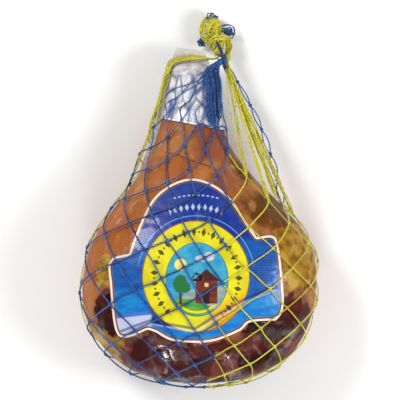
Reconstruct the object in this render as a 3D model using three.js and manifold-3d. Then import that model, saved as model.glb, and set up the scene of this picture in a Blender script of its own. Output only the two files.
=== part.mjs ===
// A whole cured ham, packed in tight clear film and hung in a two-colour knotted net.
// It lies on its back with the label up. Millimetres, +Z up, the shank points along +Y,
// and the origin is the middle of the flat spot that the ham rests on.
import * as THREE from 'three';
import { mergeVertices } from 'three/addons/utils/BufferGeometryUtils.js';
import Module from 'manifold-3d';

const wasm = await Module();
wasm.setup();

// Driving dimensions of the ham in its film. Each station is a section across the ham:
// its place along the ham, its left and right side, its underside and top, and how far
// the section leans forward at the butt end.
const STATIONS = [
  { along: 268, left: -13, right: -13, under: 41, top: 41, lean: 0 },
  { along: 265, left: -30, right: 6, under: 27, top: 57, lean: 0 },
  { along: 254, left: -40, right: 22, under: 14, top: 70, lean: 0 },
  { along: 208, left: -46, right: 26, under: 8, top: 76, lean: 0 },
  { along: 165, left: -59, right: 38, under: 6, top: 90, lean: 0 },
  { along: 125, left: -79, right: 67, under: 3, top: 109, lean: 0 },
  { along: 85, left: -108, right: 106, under: 0, top: 127, lean: 0 },
  { along: 40, left: -137, right: 140, under: -2, top: 141, lean: 0 },
  { along: -12, left: -148.5, right: 147, under: -3, top: 146, lean: 0 },
  { along: -60, left: -141, right: 137, under: -2, top: 139, lean: 0.06 },
  { along: -91, left: -115, right: 115, under: 0, top: 119, lean: 0.2 },
  { along: -107.5, left: -82, right: 83, under: 3, top: 92, lean: 0.36 },
  { along: -116.5, left: -42, right: 54, under: 10, top: 62, lean: 0.46 },
  { along: -120.5, left: 10, right: 10, under: 28, top: 28, lean: 0.5 },
];
const SECTION_POWER = 2.3;
const WIDEST_LEVEL = 0.45;
const LEAN_PIVOT = 20;
const HAM_SLICES = 34;
const HAM_SIDES = 40;
const WRAP_GAP = 0.9;
const SEARCH_STEPS = 40;
const SETTLE_STEPS = 12;
const NORMAL_STEP = 1.5;

// The film's flat side seam and sealed end, beside and beyond the shank
const SEAM_LEVEL = 40.5;
const SEAM_THICK = 1.4;
const SEAM_PUSH = 8;
const SEAM_ANGLE = 26;
const SEAM_OUTLINE = [
  [-30, 285], [4, 281], [13, 262], [0, 255], [-20, 180], [-40, 131], [-76, 131],
  [-66, 158], [-61, 176], [-55, 200], [-49, 226], [-46, 250], [-35, 271],
];

// The printed wrap round the shank, and the label on the belly
const WRAP_THICK = 0.9;
const WRAP_FROM = 250;
const WRAP_TO = 188;
const WRAP_SLANT = 8;
const WRAP_OPENING = 16;
const WRAP_RINGS = 5;
const WRAP_SIDES = 28;
const LABEL_GAP = 1.2;
const LABEL_THICK = 0.6;
const LABEL_RINGS = 5;
const LABEL_SIDES = 42;
const LABEL_CENTRE = [-4, -2];
const LABEL_TOP = 130;
const DOME_POINTS = [
  [-87, 27], [-77, 55], [-59, 92], [-35, 112.5], [-9, 119.5], [17, 111.5], [38, 94], [58, 64], [70, 47],
];
const RIGHT_WING = [[88, 49], [96, 38], [102, -12], [102, -41], [94, -55]];
const FOOT_POINTS = [[62, -57], [48, -68], [12, -81], [-32, -80], [-55, -69], [-64, -66]];
const LEFT_WING = [[-101, -73], [-111, -5], [-112, 14], [-107, 22]];

// The net: twelve columns of diamonds round the ham, in sectors of two colours. Its knots
// start at a top row; above that each column is one gathered strand up to the tie knot.
const COLUMNS = 12;
const COLUMN_ANGLES = [20, 46, 76, 109, 141, 164, 190, 222, 253, 285, 317, 348];
const END_ROW = 12;
const CORD_LIFT = 0.55;
const KNOT_GROWTH = 1.5;
const KNOT_HEIGHT = 1.2;
const NET_DEPTH = 3.1;
const GROOVE_GROWTH = 2;
const GROOVE_AREA = [200, 260, 6];
const GROOVE_CENTRE = [0, 15, 3];
const COLOUR_CLEARANCE = 8;
const STEEP_COLUMNS = [[-1.4, 0.8], [3.6, 7.2], [10.6, 12]];
const SECTORS = [
  { name: 'net_front_blue', from: -1, to: 3, width: 2.5, owner: true, topRow: -2 },
  { name: 'net_front_yellow', from: 3, to: 6, width: 2.2, owner: false, topRow: 0 },
  { name: 'net_back_blue', from: 6, to: 8, width: 2.5, owner: true, topRow: 0 },
  { name: 'net_back_yellow', from: 8, to: 11, width: 2.2, owner: false, topRow: -2 },
];
const FREE_COLUMNS = [4, 7];
const COLLAR = [254, 259, 263.5];
const LAST_WRAPPED_ROW = -5;
const OVER_SEAM = { y: 271, above: 48, below: 34 };

// How the rows of knots lie: place along the ham, slant from left to right, dip over the
// top, and how far the net is twisted round the ham
const ROWS = [
  { row: -6, along: 262, slant: 4, dip: 2, twist: 60 },
  { row: -4, along: 222, slant: 9, dip: 6, twist: 46 },
  { row: -2, along: 172, slant: 16, dip: 13, twist: 33 },
  { row: 0, along: 123, slant: 24, dip: 25, twist: 12 },
  { row: 2, along: 76, slant: 31, dip: 30, twist: 2 },
  { row: 4, along: 27, slant: 34, dip: 26, twist: 0 },
  { row: 6, along: -20, slant: 28, dip: 26, twist: -3 },
  { row: 8, along: -70, slant: 20, dip: 8, twist: -5 },
  { row: 10, along: -100, slant: 12, dip: 2, twist: -12 },
  { row: 12, along: -115.5, slant: 2, dip: 0, twist: -18 },
  { row: 14, along: -120, slant: 0, dip: 0, twist: -20 },
];

// The tie knot that closes the net, just past the end of the shank, with its bunched loops
const TIE = new THREE.Vector3(25, 271.5, 36.5);
const TIE_RADIUS = 7;
const TIE_CORDS = [
  {
    name: 'neck',
    radius: 8.5,
    path: [[24, 279, 37], [22.5, 287, 31], [18.5, 297, 22], [14, 308, 16]],
  },
  {
    name: 'bulb',
    radius: 14.5,
    path: [[17, 294, 17], [13, 309, 15.2], [13, 327, 15]],
  },
  {
    name: 'loop',
    radius: 5,
    path: [[24, 289, 30], [31, 298, 28], [37, 292, 23], [37, 281, 19], [34, 271, 17]],
  },
  {
    name: 'curl',
    radius: 2.4,
    path: [[24, 298, 26], [34, 305, 24], [43, 302, 17], [43, 312, 10], [34, 315, 9], [24, 311, 14]],
  },
  {
    name: 'tail',
    radius: 2,
    path: [[24, 291, 36], [29, 283, 45], [33, 271, 48], [33, 257, 44]],
  },
];
const TIE_STEPS = 8;
const TIE_SIDES = 6;

const COLOURS = {
  ham_in_film: [0x8a4a2c, 0.35],
  shank_wrap: [0xe4dedd, 0.45],
  label: [0x1d66c0, 0.35],
  net_tie_knot: [0xe8cf2a, 0.8],
  blue: [0x1d3f96, 0.8],
  yellow: [0xe8cf2a, 0.8],
};

// Curve through four values, the usual smooth spline
function spline(a, b, c, d, t) {
  const linear = (c - a) * t;
  const square = (2 * a - 5 * b + 4 * c - d) * t * t;
  const cube = (3 * b - a - 3 * c + d) * t * t * t;
  return 0.5 * (2 * b + linear + square + cube);
}

// Values between the entries of a list, by place in the list
function between(list, key, place) {
  const last = list.length - 1;
  const index = Math.min(last - 1, Math.max(0, Math.floor(place)));
  const at = (k) => list[Math.min(last, Math.max(0, k))][key];
  return spline(at(index - 1), at(index), at(index + 1), at(index + 2), place - index);
}

// The place in the list of stations that lies at a distance along the ham
function stationPlace(along) {
  let low = 0;
  let high = STATIONS.length - 1;
  for (let step = 0; step < SEARCH_STEPS; step += 1) {
    const middle = (low + high) / 2;
    if (between(STATIONS, 'along', middle) > along) low = middle;
    else high = middle;
  }
  return (low + high) / 2;
}

function sectionAt(place) {
  const left = between(STATIONS, 'left', place);
  const right = between(STATIONS, 'right', place);
  const under = between(STATIONS, 'under', place);
  const top = between(STATIONS, 'top', place);
  return {
    along: between(STATIONS, 'along', place),
    lean: between(STATIONS, 'lean', place),
    centre: (left + right) / 2,
    half: Math.max((right - left) / 2, 0),
    level: under + (top - under) * WIDEST_LEVEL,
    above: (top - under) * (1 - WIDEST_LEVEL),
    below: (top - under) * WIDEST_LEVEL,
  };
}

function sectionPoint(section, x, z) {
  const level = Math.max(z, 0);
  return new THREE.Vector3(x, section.along - section.lean * (z - LEAN_PIVOT), level);
}

// A point of the film's surface, by place along the ham and angle round it
function surfaceAt(along, degrees) {
  const section = sectionAt(stationPlace(along));
  const angle = THREE.MathUtils.degToRad(degrees);
  const across = Math.cos(angle);
  const up = Math.sin(angle);
  const height = up > 0 ? section.above : section.below;
  const shape = Math.pow(Math.abs(across) / section.half, SECTION_POWER)
    + Math.pow(Math.abs(up) / height, SECTION_POWER);
  const reach = Math.pow(shape, -1 / SECTION_POWER);
  return sectionPoint(section, section.centre - reach * across, section.level + reach * up);
}

function normalAt(along, degrees) {
  const step = NORMAL_STEP;
  const ahead = surfaceAt(along + step, degrees).sub(surfaceAt(along - step, degrees));
  const round = surfaceAt(along, degrees + step).sub(surfaceAt(along, degrees - step));
  return ahead.cross(round).normalize().multiplyScalar(-1);
}

// The film's surface straight above a place on the plan
function surfaceAbove(x, y) {
  let along = y;
  let point = new THREE.Vector3(x, y, 0);
  for (let step = 0; step < SETTLE_STEPS; step += 1) {
    const section = sectionAt(stationPlace(along));
    const ratio = Math.min(0.999, Math.abs(x - section.centre) / section.half);
    const rise = Math.pow(1 - Math.pow(ratio, SECTION_POWER), 1 / SECTION_POWER);
    const z = section.level + section.above * rise;
    point = new THREE.Vector3(x, y, z);
    along = y + section.lean * (z - LEAN_PIVOT);
  }
  return point;
}

function normalAbove(point) {
  const step = NORMAL_STEP;
  const ahead = surfaceAbove(point.x, point.y + step).sub(surfaceAbove(point.x, point.y - step));
  const across = surfaceAbove(point.x + step, point.y).sub(surfaceAbove(point.x - step, point.y));
  return across.cross(ahead).normalize();
}

// Geometry helpers
function geometryFrom(positions, indices) {
  const geometry = new THREE.BufferGeometry();
  geometry.setAttribute('position', new THREE.Float32BufferAttribute(positions, 3));
  geometry.setIndex(indices);
  return geometry;
}

function solidFrom(geometry) {
  const bare = geometry.clone();
  bare.deleteAttribute('normal');
  bare.deleteAttribute('uv');
  const merged = mergeVertices(bare, 1e-4);
  return new wasm.Manifold(new wasm.Mesh({
    numProp: 3,
    vertProperties: new Float32Array(merged.getAttribute('position').array),
    triVerts: new Uint32Array(merged.getIndex().array),
  }));
}

function geometryOf(solid) {
  const mesh = solid.getMesh();
  return geometryFrom(Array.from(mesh.vertProperties), Array.from(mesh.triVerts));
}

function joined(solids) {
  return solids.reduce((whole, solid) => whole.add(solid));
}

// Closed skin through rings of points, each ring running the same way round
function skinOf(rings, startPoint, endPoint) {
  const sides = rings[0].length;
  const positions = rings.flat().flatMap((point) => point.toArray());
  const indices = [];
  for (let ring = 0; ring < rings.length - 1; ring += 1) {
    for (let side = 0; side < sides; side += 1) {
      const a = ring * sides + side;
      const b = ring * sides + ((side + 1) % sides);
      indices.push(a, a + sides, b, b, a + sides, b + sides);
    }
  }
  const start = positions.length / 3;
  positions.push(...startPoint.toArray(), ...endPoint.toArray());
  const lastRing = (rings.length - 1) * sides;
  for (let side = 0; side < sides; side += 1) {
    const next = (side + 1) % sides;
    indices.push(start, side, next, start + 1, lastRing + next, lastRing + side);
  }
  return geometryFrom(positions, indices);
}

function facingOut(geometry) {
  const position = geometry.getAttribute('position');
  const index = geometry.getIndex().array;
  let volume = 0;
  const [a, b, c] = [new THREE.Vector3(), new THREE.Vector3(), new THREE.Vector3()];
  for (let corner = 0; corner < index.length; corner += 3) {
    a.fromBufferAttribute(position, index[corner]);
    b.fromBufferAttribute(position, index[corner + 1]);
    c.fromBufferAttribute(position, index[corner + 2]);
    volume += a.dot(b.cross(c));
  }
  if (volume < 0) {
    for (let corner = 0; corner < index.length; corner += 3) {
      [index[corner], index[corner + 1]] = [index[corner + 1], index[corner]];
    }
  }
  return geometry;
}

// A round cord along a line of points
function cordAlong(points, outward, radius, sides) {
  const rings = points.map((point, index) => {
    const before = points[Math.max(0, index - 1)];
    const after = points[Math.min(points.length - 1, index + 1)];
    const ahead = after.clone().sub(before).normalize();
    const out = outward[index].clone().addScaledVector(ahead, -outward[index].dot(ahead)).normalize();
    const across = ahead.clone().cross(out);
    return Array.from({ length: sides }, (_, side) => {
      const angle = (2 * Math.PI * side) / sides;
      return point.clone()
        .addScaledVector(out, radius * Math.cos(angle))
        .addScaledVector(across, radius * Math.sin(angle));
    });
  });
  return facingOut(skinOf(rings, points[0].clone(), points[points.length - 1].clone()));
}

// A slab that follows the film: an outer face, an inner face and the rim between them
function slabFrom(inner, outer) {
  const count = inner.positions.length;
  const positions = [...inner.positions, ...outer.positions].flatMap((point) => point.toArray());
  const indices = [];
  inner.faces.forEach(([a, b, c]) => {
    indices.push(a, c, b, a + count, b + count, c + count);
  });
  inner.rim.forEach((a, index) => {
    const b = inner.rim[(index + 1) % inner.rim.length];
    indices.push(a, b, b + count, a, b + count, a + count);
  });
  return facingOut(geometryFrom(positions, indices));
}

// The ham in its film
function hamBody() {
  const last = STATIONS.length - 1;
  const rings = [];
  for (let slice = 1; slice < HAM_SLICES; slice += 1) {
    const section = sectionAt((slice / HAM_SLICES) * last);
    rings.push(Array.from({ length: HAM_SIDES }, (_, side) => {
      const angle = (2 * Math.PI * side) / HAM_SIDES;
      const power = 2 / SECTION_POWER;
      const across = Math.sign(Math.cos(angle)) * Math.pow(Math.abs(Math.cos(angle)), power);
      const up = Math.sign(Math.sin(angle)) * Math.pow(Math.abs(Math.sin(angle)), power);
      const height = up > 0 ? section.above : section.below;
      return sectionPoint(section, section.centre - section.half * across, section.level + height * up);
    }));
  }
  const ends = [0, last].map((place) => {
    const section = sectionAt(place);
    return sectionPoint(section, section.centre, section.level);
  });
  return facingOut(skinOf(rings, ends[0], ends[1]));
}

function filmSeam() {
  const outline = new THREE.Shape(SEAM_OUTLINE.map(([x, y]) => new THREE.Vector2(x, y)));
  const plate = new THREE.ExtrudeGeometry(outline, { depth: SEAM_THICK, bevelEnabled: false });
  plate.translate(0, 0, SEAM_LEVEL - SEAM_THICK / 2);
  return plate;
}

// The net's knots: a row and a column give a place along the ham and an angle round it
function rowValue(key, row) {
  const place = (row - ROWS[0].row) / 2;
  return between(ROWS, key, place);
}

function columnAngle(column) {
  const turns = Math.floor(column / COLUMNS);
  const inside = column - turns * COLUMNS;
  const first = Math.floor(inside);
  const next = first + 1;
  const nextAngle = next === COLUMNS ? COLUMN_ANGLES[0] + 360 : COLUMN_ANGLES[next];
  const angle = COLUMN_ANGLES[first] + (nextAngle - COLUMN_ANGLES[first]) * (inside - first);
  return angle + 360 * turns;
}

function netPlace(row, column) {
  const degrees = columnAngle(column) + rowValue('twist', row);
  const angle = THREE.MathUtils.degToRad(degrees);
  const along = rowValue('along', row)
    + rowValue('slant', row) * Math.cos(angle)
    - rowValue('dip', row) * Math.sin(angle);
  return { along: Math.min(along, WRAP_FROM), degrees };
}

// How far the film's side seam pushes the net out, on the side where the seam runs
function overSeam(along, degrees) {
  const turn = Math.abs(((degrees + 180) % 360) - 180);
  const length = THREE.MathUtils.smoothstep(along, 100, 150);
  return SEAM_PUSH * length * Math.exp(-((turn / SEAM_ANGLE) ** 2));
}

// A place on the net, with the ways down the rows, across the columns and out from the ham
function netFrame(row, column) {
  const { along, degrees } = netPlace(row, column);
  const wrapped = along > WRAP_TO - WRAP_SLANT - 4 ? WRAP_THICK + WRAP_GAP : 0;
  const out = normalAt(along, degrees);
  const onTop = THREE.MathUtils.smoothstep(Math.sin(THREE.MathUtils.degToRad(degrees)), 0.1, 0.3);
  const labelled = along < LABEL_TOP ? onTop * (LABEL_GAP + LABEL_THICK) : 0;
  const lift = CORD_LIFT + wrapped + labelled + overSeam(along, degrees);
  const point = surfaceAt(along, degrees).addScaledVector(out, lift);
  point.z = Math.max(point.z, NET_DEPTH * Math.max(0, -out.z));
  return { point, out };
}

function tangentsAt(row, column) {
  const step = 0.2;
  const down = netFrame(row + step, column).point.sub(netFrame(row - step, column).point).normalize();
  const across = netFrame(row, column + step).point.sub(netFrame(row, column - step).point).normalize();
  return { down, across };
}

// The mesh of one net sector, grown ring by ring. A cord's section is a triangle: two
// corners against the ham and one on top.
class CordMesh {
  constructor(width, sink) {
    this.width = width;
    this.sink = sink;
    this.points = [];
    this.faces = [];
  }

  vertex(point) {
    this.points.push(point);
    return this.points.length - 1;
  }

  ringAt(place, ahead) {
    const { point, out } = place;
    const side = ahead.clone().cross(out).normalize();
    const base = point.clone().addScaledVector(out, -this.sink);
    const left = base.clone().addScaledVector(side, -this.width / 2);
    const right = base.clone().addScaledVector(side, this.width / 2);
    const top = point.clone().addScaledVector(out, this.width);
    return [this.vertex(right), this.vertex(left), this.vertex(top)];
  }

  connect(first, second) {
    for (let corner = 0; corner < 3; corner += 1) {
      const next = (corner + 1) % 3;
      this.faces.push([first[corner], second[corner], second[next]]);
      this.faces.push([first[corner], second[next], first[next]]);
    }
  }

  endCap([a, b, c]) {
    this.faces.push([a, c, b]);
  }

  geometry() {
    const positions = this.points.flatMap((point) => point.toArray());
    return facingOut(geometryFrom(positions, this.faces.flat()));
  }
}

// A knot is a small pyramid with four open sides, one for each cord that leaves it
function knotHub(mesh, row, column) {
  const place = netFrame(row, column);
  const { down, across } = tangentsAt(row, column);
  const reach = mesh.width * 0.5 * KNOT_GROWTH;
  const base = place.point.clone().addScaledVector(place.out, -mesh.sink);
  const corner = (way, sign) => mesh.vertex(base.clone().addScaledVector(way, sign * reach));
  const top = mesh.vertex(place.point.clone().addScaledVector(place.out, mesh.width * KNOT_HEIGHT));
  const [east, south, west, north] = [
    corner(across, 1), corner(down, 1), corner(across, -1), corner(down, -1),
  ];
  mesh.faces.push([north, south, east], [north, west, south]);
  return {
    row,
    column,
    place,
    sides: {
      southEast: [south, east, top],
      southWest: [west, south, top],
      northEast: [east, north, top],
      northWest: [north, west, top],
    },
  };
}

const mirrored = ([a, b, c]) => [b, a, c];

// A cord from a knot's side through places on the way, ending at another knot or in a cap
function cordFrom(mesh, startSide, places, endSide) {
  let ring = startSide;
  places.forEach((place, index) => {
    const before = index > 0 ? places[index - 1].point : place.from;
    const after = index < places.length - 1 ? places[index + 1].point : place.to;
    const next = mesh.ringAt(place, after.clone().sub(before).normalize());
    mesh.connect(ring, next);
    ring = next;
  });
  if (endSide) mesh.connect(ring, mirrored(endSide));
  else mesh.endCap(ring);
}

function barPlaces(hub, rowStep, columnStep, cutShort) {
  const target = netFrame(hub.row + rowStep, hub.column + columnStep).point;
  const length = target.distanceTo(hub.place.point);
  const middle = hub.column + columnStep / 2;
  const steep = STEEP_COLUMNS.some(([from, to]) => middle > from && middle < to);
  const end = cutShort ? 1 - COLOUR_CLEARANCE / length : 1;
  const shares = (steep ? [0.25, 0.5, 0.75] : [0.5]).filter((share) => share < end - 0.05);
  if (cutShort) shares.push(end);
  return shares.map((share) => ({
    ...netFrame(hub.row + rowStep * share, hub.column + columnStep * share),
    from: hub.place.point,
    to: target,
  }));
}

// The gathered strand from a top knot to the tie: straight through the air on the side where
// the taut net leaves the ham, and along the shank elsewhere
function strandPlaces(hub) {
  const column = ((hub.column % COLUMNS) + COLUMNS) % COLUMNS;
  const spread = THREE.MathUtils.degToRad(columnAngle(column) + rowValue('twist', -6));
  const around = new THREE.Vector3(-Math.cos(spread), 0, Math.sin(spread));
  const tieEnd = TIE.clone().addScaledVector(around, TIE_RADIUS);
  const from = hub.place.point;
  const places = [];
  if (column < FREE_COLUMNS[0] || column > FREE_COLUMNS[1]) {
    for (let row = hub.row - 1; row >= LAST_WRAPPED_ROW; row -= 1) {
      places.push(netFrame(row, column));
    }
    const degrees = netPlace(-5.5, column).degrees;
    COLLAR.forEach((along) => {
      const out = normalAt(along, degrees);
      const lift = CORD_LIFT + WRAP_THICK + WRAP_GAP;
      places.push({ point: surfaceAt(along, degrees).addScaledVector(out, lift), out });
    });
    const crossing = places[places.length - 1].point.clone().lerp(tieEnd, 0.45);
    crossing.y = OVER_SEAM.y;
    const { above, below } = OVER_SEAM;
    crossing.z = around.z > 0 ? Math.max(crossing.z, above) : Math.min(crossing.z, below);
    places.push({ point: crossing, out: around });
  }
  places.push({ point: tieEnd, out: around });
  return places.map((place) => ({ ...place, from, to: TIE.clone().setY(TIE.y + 10) }));
}

// One sector of the net: its knots, the bars between them and the strands up to the tie
function netSector(sector, growth, sink) {
  const mesh = new CordMesh(sector.width * growth, sink);
  const hubs = new Map();
  const inside = (column) => (sector.owner
    ? column >= sector.from && column <= sector.to
    : column > sector.from && column < sector.to);
  for (let row = sector.topRow; row <= END_ROW; row += 1) {
    const half = row % 2 === 0 ? 0 : 0.5;
    for (let column = sector.from + half; column <= sector.to; column += 1) {
      if (inside(column)) hubs.set(`${row},${column}`, knotHub(mesh, row, column));
    }
  }
  const ways = [
    { side: 'southEast', meets: 'northWest', rowStep: 1, columnStep: 0.5 },
    { side: 'southWest', meets: 'northEast', rowStep: 1, columnStep: -0.5 },
    { side: 'northEast', meets: null, rowStep: -1, columnStep: 0.5 },
    { side: 'northWest', meets: null, rowStep: -1, columnStep: -0.5 },
  ];
  hubs.forEach((hub) => {
    ways.forEach(({ side, meets, rowStep, columnStep }) => {
      const row = hub.row + rowStep;
      const column = hub.column + columnStep;
      const target = hubs.get(`${row},${column}`);
      const inRows = row >= sector.topRow && row <= END_ROW;
      const otherColour = !sector.owner && (column === sector.from || column === sector.to);
      if (target && meets) {
        cordFrom(mesh, hub.sides[side], barPlaces(hub, rowStep, columnStep, false), target.sides[meets]);
      } else if (otherColour && inRows) {
        cordFrom(mesh, hub.sides[side], barPlaces(hub, rowStep, columnStep, true), null);
      } else if (hub.row === sector.topRow && side === 'northEast') {
        cordFrom(mesh, hub.sides[side], strandPlaces(hub), null);
      } else if (!target) {
        mesh.endCap(hub.sides[side]);
      }
    });
  });
  return mesh.geometry();
}

// The wrap is a printed band round the shank, open along the side seam
function shankWrap() {
  const layer = (lift) => {
    const positions = [];
    for (let ring = 0; ring <= WRAP_RINGS; ring += 1) {
      for (let side = 0; side <= WRAP_SIDES; side += 1) {
        const degrees = WRAP_OPENING + ((360 - 2 * WRAP_OPENING) * side) / WRAP_SIDES;
        const lower = WRAP_TO + WRAP_SLANT * Math.cos(THREE.MathUtils.degToRad(degrees));
        const along = lower + ((WRAP_FROM - lower) * ring) / WRAP_RINGS;
        const point = surfaceAt(along, degrees);
        positions.push(point.addScaledVector(normalAt(along, degrees), lift));
      }
    }
    return positions;
  };
  const row = WRAP_SIDES + 1;
  const faces = [];
  for (let ring = 0; ring < WRAP_RINGS; ring += 1) {
    for (let side = 0; side < WRAP_SIDES; side += 1) {
      const corner = ring * row + side;
      faces.push([corner, corner + 1, corner + row + 1], [corner, corner + row + 1, corner + row]);
    }
  }
  const top = WRAP_RINGS * row;
  const rim = [];
  for (let side = 0; side < WRAP_SIDES; side += 1) rim.push(side);
  for (let ring = 0; ring < WRAP_RINGS; ring += 1) rim.push(ring * row + WRAP_SIDES);
  for (let side = WRAP_SIDES; side > 0; side -= 1) rim.push(top + side);
  for (let ring = WRAP_RINGS; ring > 0; ring -= 1) rim.push(ring * row);
  return slabFrom({ positions: layer(WRAP_GAP), faces, rim }, { positions: layer(WRAP_GAP + WRAP_THICK) });
}

// The label's outline: a dome with a wing on each side and a round foot
function labelOutline() {
  const [cornerX, cornerY] = DOME_POINTS[0];
  const shape = new THREE.Shape();
  shape.moveTo(cornerX, cornerY);
  [DOME_POINTS, RIGHT_WING, FOOT_POINTS, LEFT_WING].forEach((stretch) => {
    shape.splineThru(stretch.map(([x, y]) => new THREE.Vector2(x, y)));
  });
  shape.lineTo(cornerX, cornerY);
  const outline = shape.getPoints(8);
  const [centreX, centreY] = LABEL_CENTRE;
  const rays = outline.map((point) => ({
    angle: Math.atan2(point.y - centreY, point.x - centreX),
    reach: Math.hypot(point.x - centreX, point.y - centreY),
  })).sort((first, second) => first.angle - second.angle);
  return (angle) => {
    const next = rays.findIndex((ray) => ray.angle > angle);
    const after = rays[next === -1 ? 0 : next];
    const before = rays[next <= 0 ? rays.length - 1 : next - 1];
    const turn = 2 * Math.PI;
    const span = (after.angle - before.angle + turn) % turn;
    const share = span > 0 ? ((angle - before.angle + turn) % turn) / span : 0;
    return before.reach + (after.reach - before.reach) * share;
  };
}

function label() {
  const reachAt = labelOutline();
  const [centreX, centreY] = LABEL_CENTRE;
  const layer = (lift) => {
    const positions = [surfaceAbove(centreX, centreY)];
    for (let ring = 1; ring <= LABEL_RINGS; ring += 1) {
      for (let side = 0; side < LABEL_SIDES; side += 1) {
        const angle = -Math.PI + (2 * Math.PI * (side + 0.5)) / LABEL_SIDES;
        const reach = (reachAt(angle) * ring) / LABEL_RINGS;
        positions.push(surfaceAbove(centreX + reach * Math.cos(angle), centreY + reach * Math.sin(angle)));
      }
    }
    return positions.map((point) => {
      const out = normalAbove(point);
      return point.clone().addScaledVector(out, lift);
    });
  };
  const faces = [];
  const rim = [];
  for (let side = 0; side < LABEL_SIDES; side += 1) {
    const next = (side + 1) % LABEL_SIDES;
    faces.push([0, 1 + side, 1 + next]);
    for (let ring = 0; ring < LABEL_RINGS - 1; ring += 1) {
      const inner = 1 + ring * LABEL_SIDES;
      const outer = inner + LABEL_SIDES;
      faces.push([inner + side, outer + side, outer + next], [inner + side, outer + next, inner + next]);
    }
    rim.push(1 + (LABEL_RINGS - 1) * LABEL_SIDES + side);
  }
  return slabFrom(
    { positions: layer(LABEL_GAP), faces, rim },
    { positions: layer(LABEL_GAP + LABEL_THICK) },
  );
}

// The knot and bunched loops where the net is tied
function tieKnot() {
  const cords = TIE_CORDS.map(({ radius, path }) => {
    const curve = new THREE.CatmullRomCurve3(path.map((point) => new THREE.Vector3(...point)));
    const points = curve.getPoints(TIE_STEPS);
    const up = points.map(() => new THREE.Vector3(0, 0.2, 1).normalize());
    return solidFrom(cordAlong(points, up, radius, TIE_SIDES));
  });
  return joined(cords);
}

const group = new THREE.Group();
function addPiece(name, geometry, look) {
  const [color, roughness] = COLOURS[look];
  const material = new THREE.MeshStandardMaterial({ color, roughness, metalness: 0 });
  const mesh = new THREE.Mesh(geometry, material);
  mesh.name = name;
  group.add(mesh);
}

// The cords press into the flat spot under the ham and nick the edge of the side seam
function grooves() {
  const cords = SECTORS.map((sector) => solidFrom(netSector(sector, GROOVE_GROWTH, CORD_LIFT - 0.05)));
  const underside = new THREE.BoxGeometry(...GROOVE_AREA).translate(...GROOVE_CENTRE);
  return {
    under: joined(cords.slice(2)).intersect(solidFrom(underside)),
    side: joined(cords),
  };
}

const groove = grooves();
const seam = solidFrom(filmSeam()).subtract(groove.side);
const body = solidFrom(hamBody()).subtract(groove.under).add(seam);
addPiece('ham_in_film', geometryOf(body), 'ham_in_film');
for (const sector of SECTORS) {
  addPiece(sector.name, netSector(sector, 1, 0), sector.name.endsWith('blue') ? 'blue' : 'yellow');
}

addPiece('shank_wrap', shankWrap(), 'shank_wrap');
addPiece('label', label(), 'label');
addPiece('net_tie_knot', geometryOf(tieKnot()), 'net_tie_knot');

export default group;
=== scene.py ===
# The looks of a whole cured ham in clear film, with its label, shank wrap and two-colour net.
# Lengths are in millimetres and angles in degrees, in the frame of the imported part. Every mesh
# is scaled to metres when it is made.
import math

import bpy
import numpy as np
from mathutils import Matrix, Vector


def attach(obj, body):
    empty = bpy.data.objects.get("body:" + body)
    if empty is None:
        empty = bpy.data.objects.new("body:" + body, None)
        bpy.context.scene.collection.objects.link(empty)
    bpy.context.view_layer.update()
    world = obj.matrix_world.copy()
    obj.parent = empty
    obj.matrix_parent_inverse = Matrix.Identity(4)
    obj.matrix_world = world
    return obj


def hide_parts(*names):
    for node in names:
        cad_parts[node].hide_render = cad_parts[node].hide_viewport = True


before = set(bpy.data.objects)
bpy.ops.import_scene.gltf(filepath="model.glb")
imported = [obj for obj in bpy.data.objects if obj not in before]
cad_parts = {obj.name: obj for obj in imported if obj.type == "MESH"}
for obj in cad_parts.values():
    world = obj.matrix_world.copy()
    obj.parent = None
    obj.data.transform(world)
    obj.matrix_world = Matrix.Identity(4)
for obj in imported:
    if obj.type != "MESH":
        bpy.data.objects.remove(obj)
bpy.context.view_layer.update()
random = np.random.default_rng(11)
MM = 0.001

# The ham in its film: sections across it, each with its place along the ham, its left and
# right side, its underside and top, and how far it leans forward at the butt end
STATIONS = np.array([
    [268, -13, -13, 41, 41, 0],
    [265, -30, 6, 27, 57, 0],
    [254, -40, 22, 14, 70, 0],
    [208, -46, 26, 8, 76, 0],
    [165, -59, 38, 6, 90, 0],
    [125, -79, 67, 3, 109, 0],
    [85, -108, 106, 0, 127, 0],
    [40, -137, 140, -2, 141, 0],
    [-12, -148.5, 147, -3, 146, 0],
    [-60, -141, 137, -2, 139, 0.06],
    [-91, -115, 115, 0, 119, 0.2],
    [-107.5, -82, 83, 3, 92, 0.36],
    [-116.5, -42, 54, 10, 62, 0.46],
    [-120.5, 10, 10, 28, 28, 0.5],
])
SECTION_POWER = 2.3
WIDEST_LEVEL = 0.45
LEAN_PIVOT = 20
FILM_ROWS = 270
FILM_SIDES = 270
FILM_TO_MEAT = 0.6
FILM_FLOOR = 0.02
MEAT_FLOOR = 0.35
CORD_FLOOR = 0.05
PLAN_STEPS = 12
DENSE_POINTS = 40
PLACES_PER_STATION = 400
SEAM_ROWS = 150
SEAM_COLUMNS = 34
SEAM_LEVEL = 40.5
SEAM_THICK = 0.6
SEAM_PUSH = 8
SEAM_ANGLE = 26
SEAM_LEFT = [[-76, 131], [-66, 158], [-61, 176], [-55, 200], [-49, 226], [-46, 250], [-35, 271], [-30, 285]]
SEAM_RIGHT = [[-40, 131], [-30, 155], [-20, 180], [-12, 205], [-4, 235], [6, 255], [12.5, 264], [4, 281]]

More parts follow.
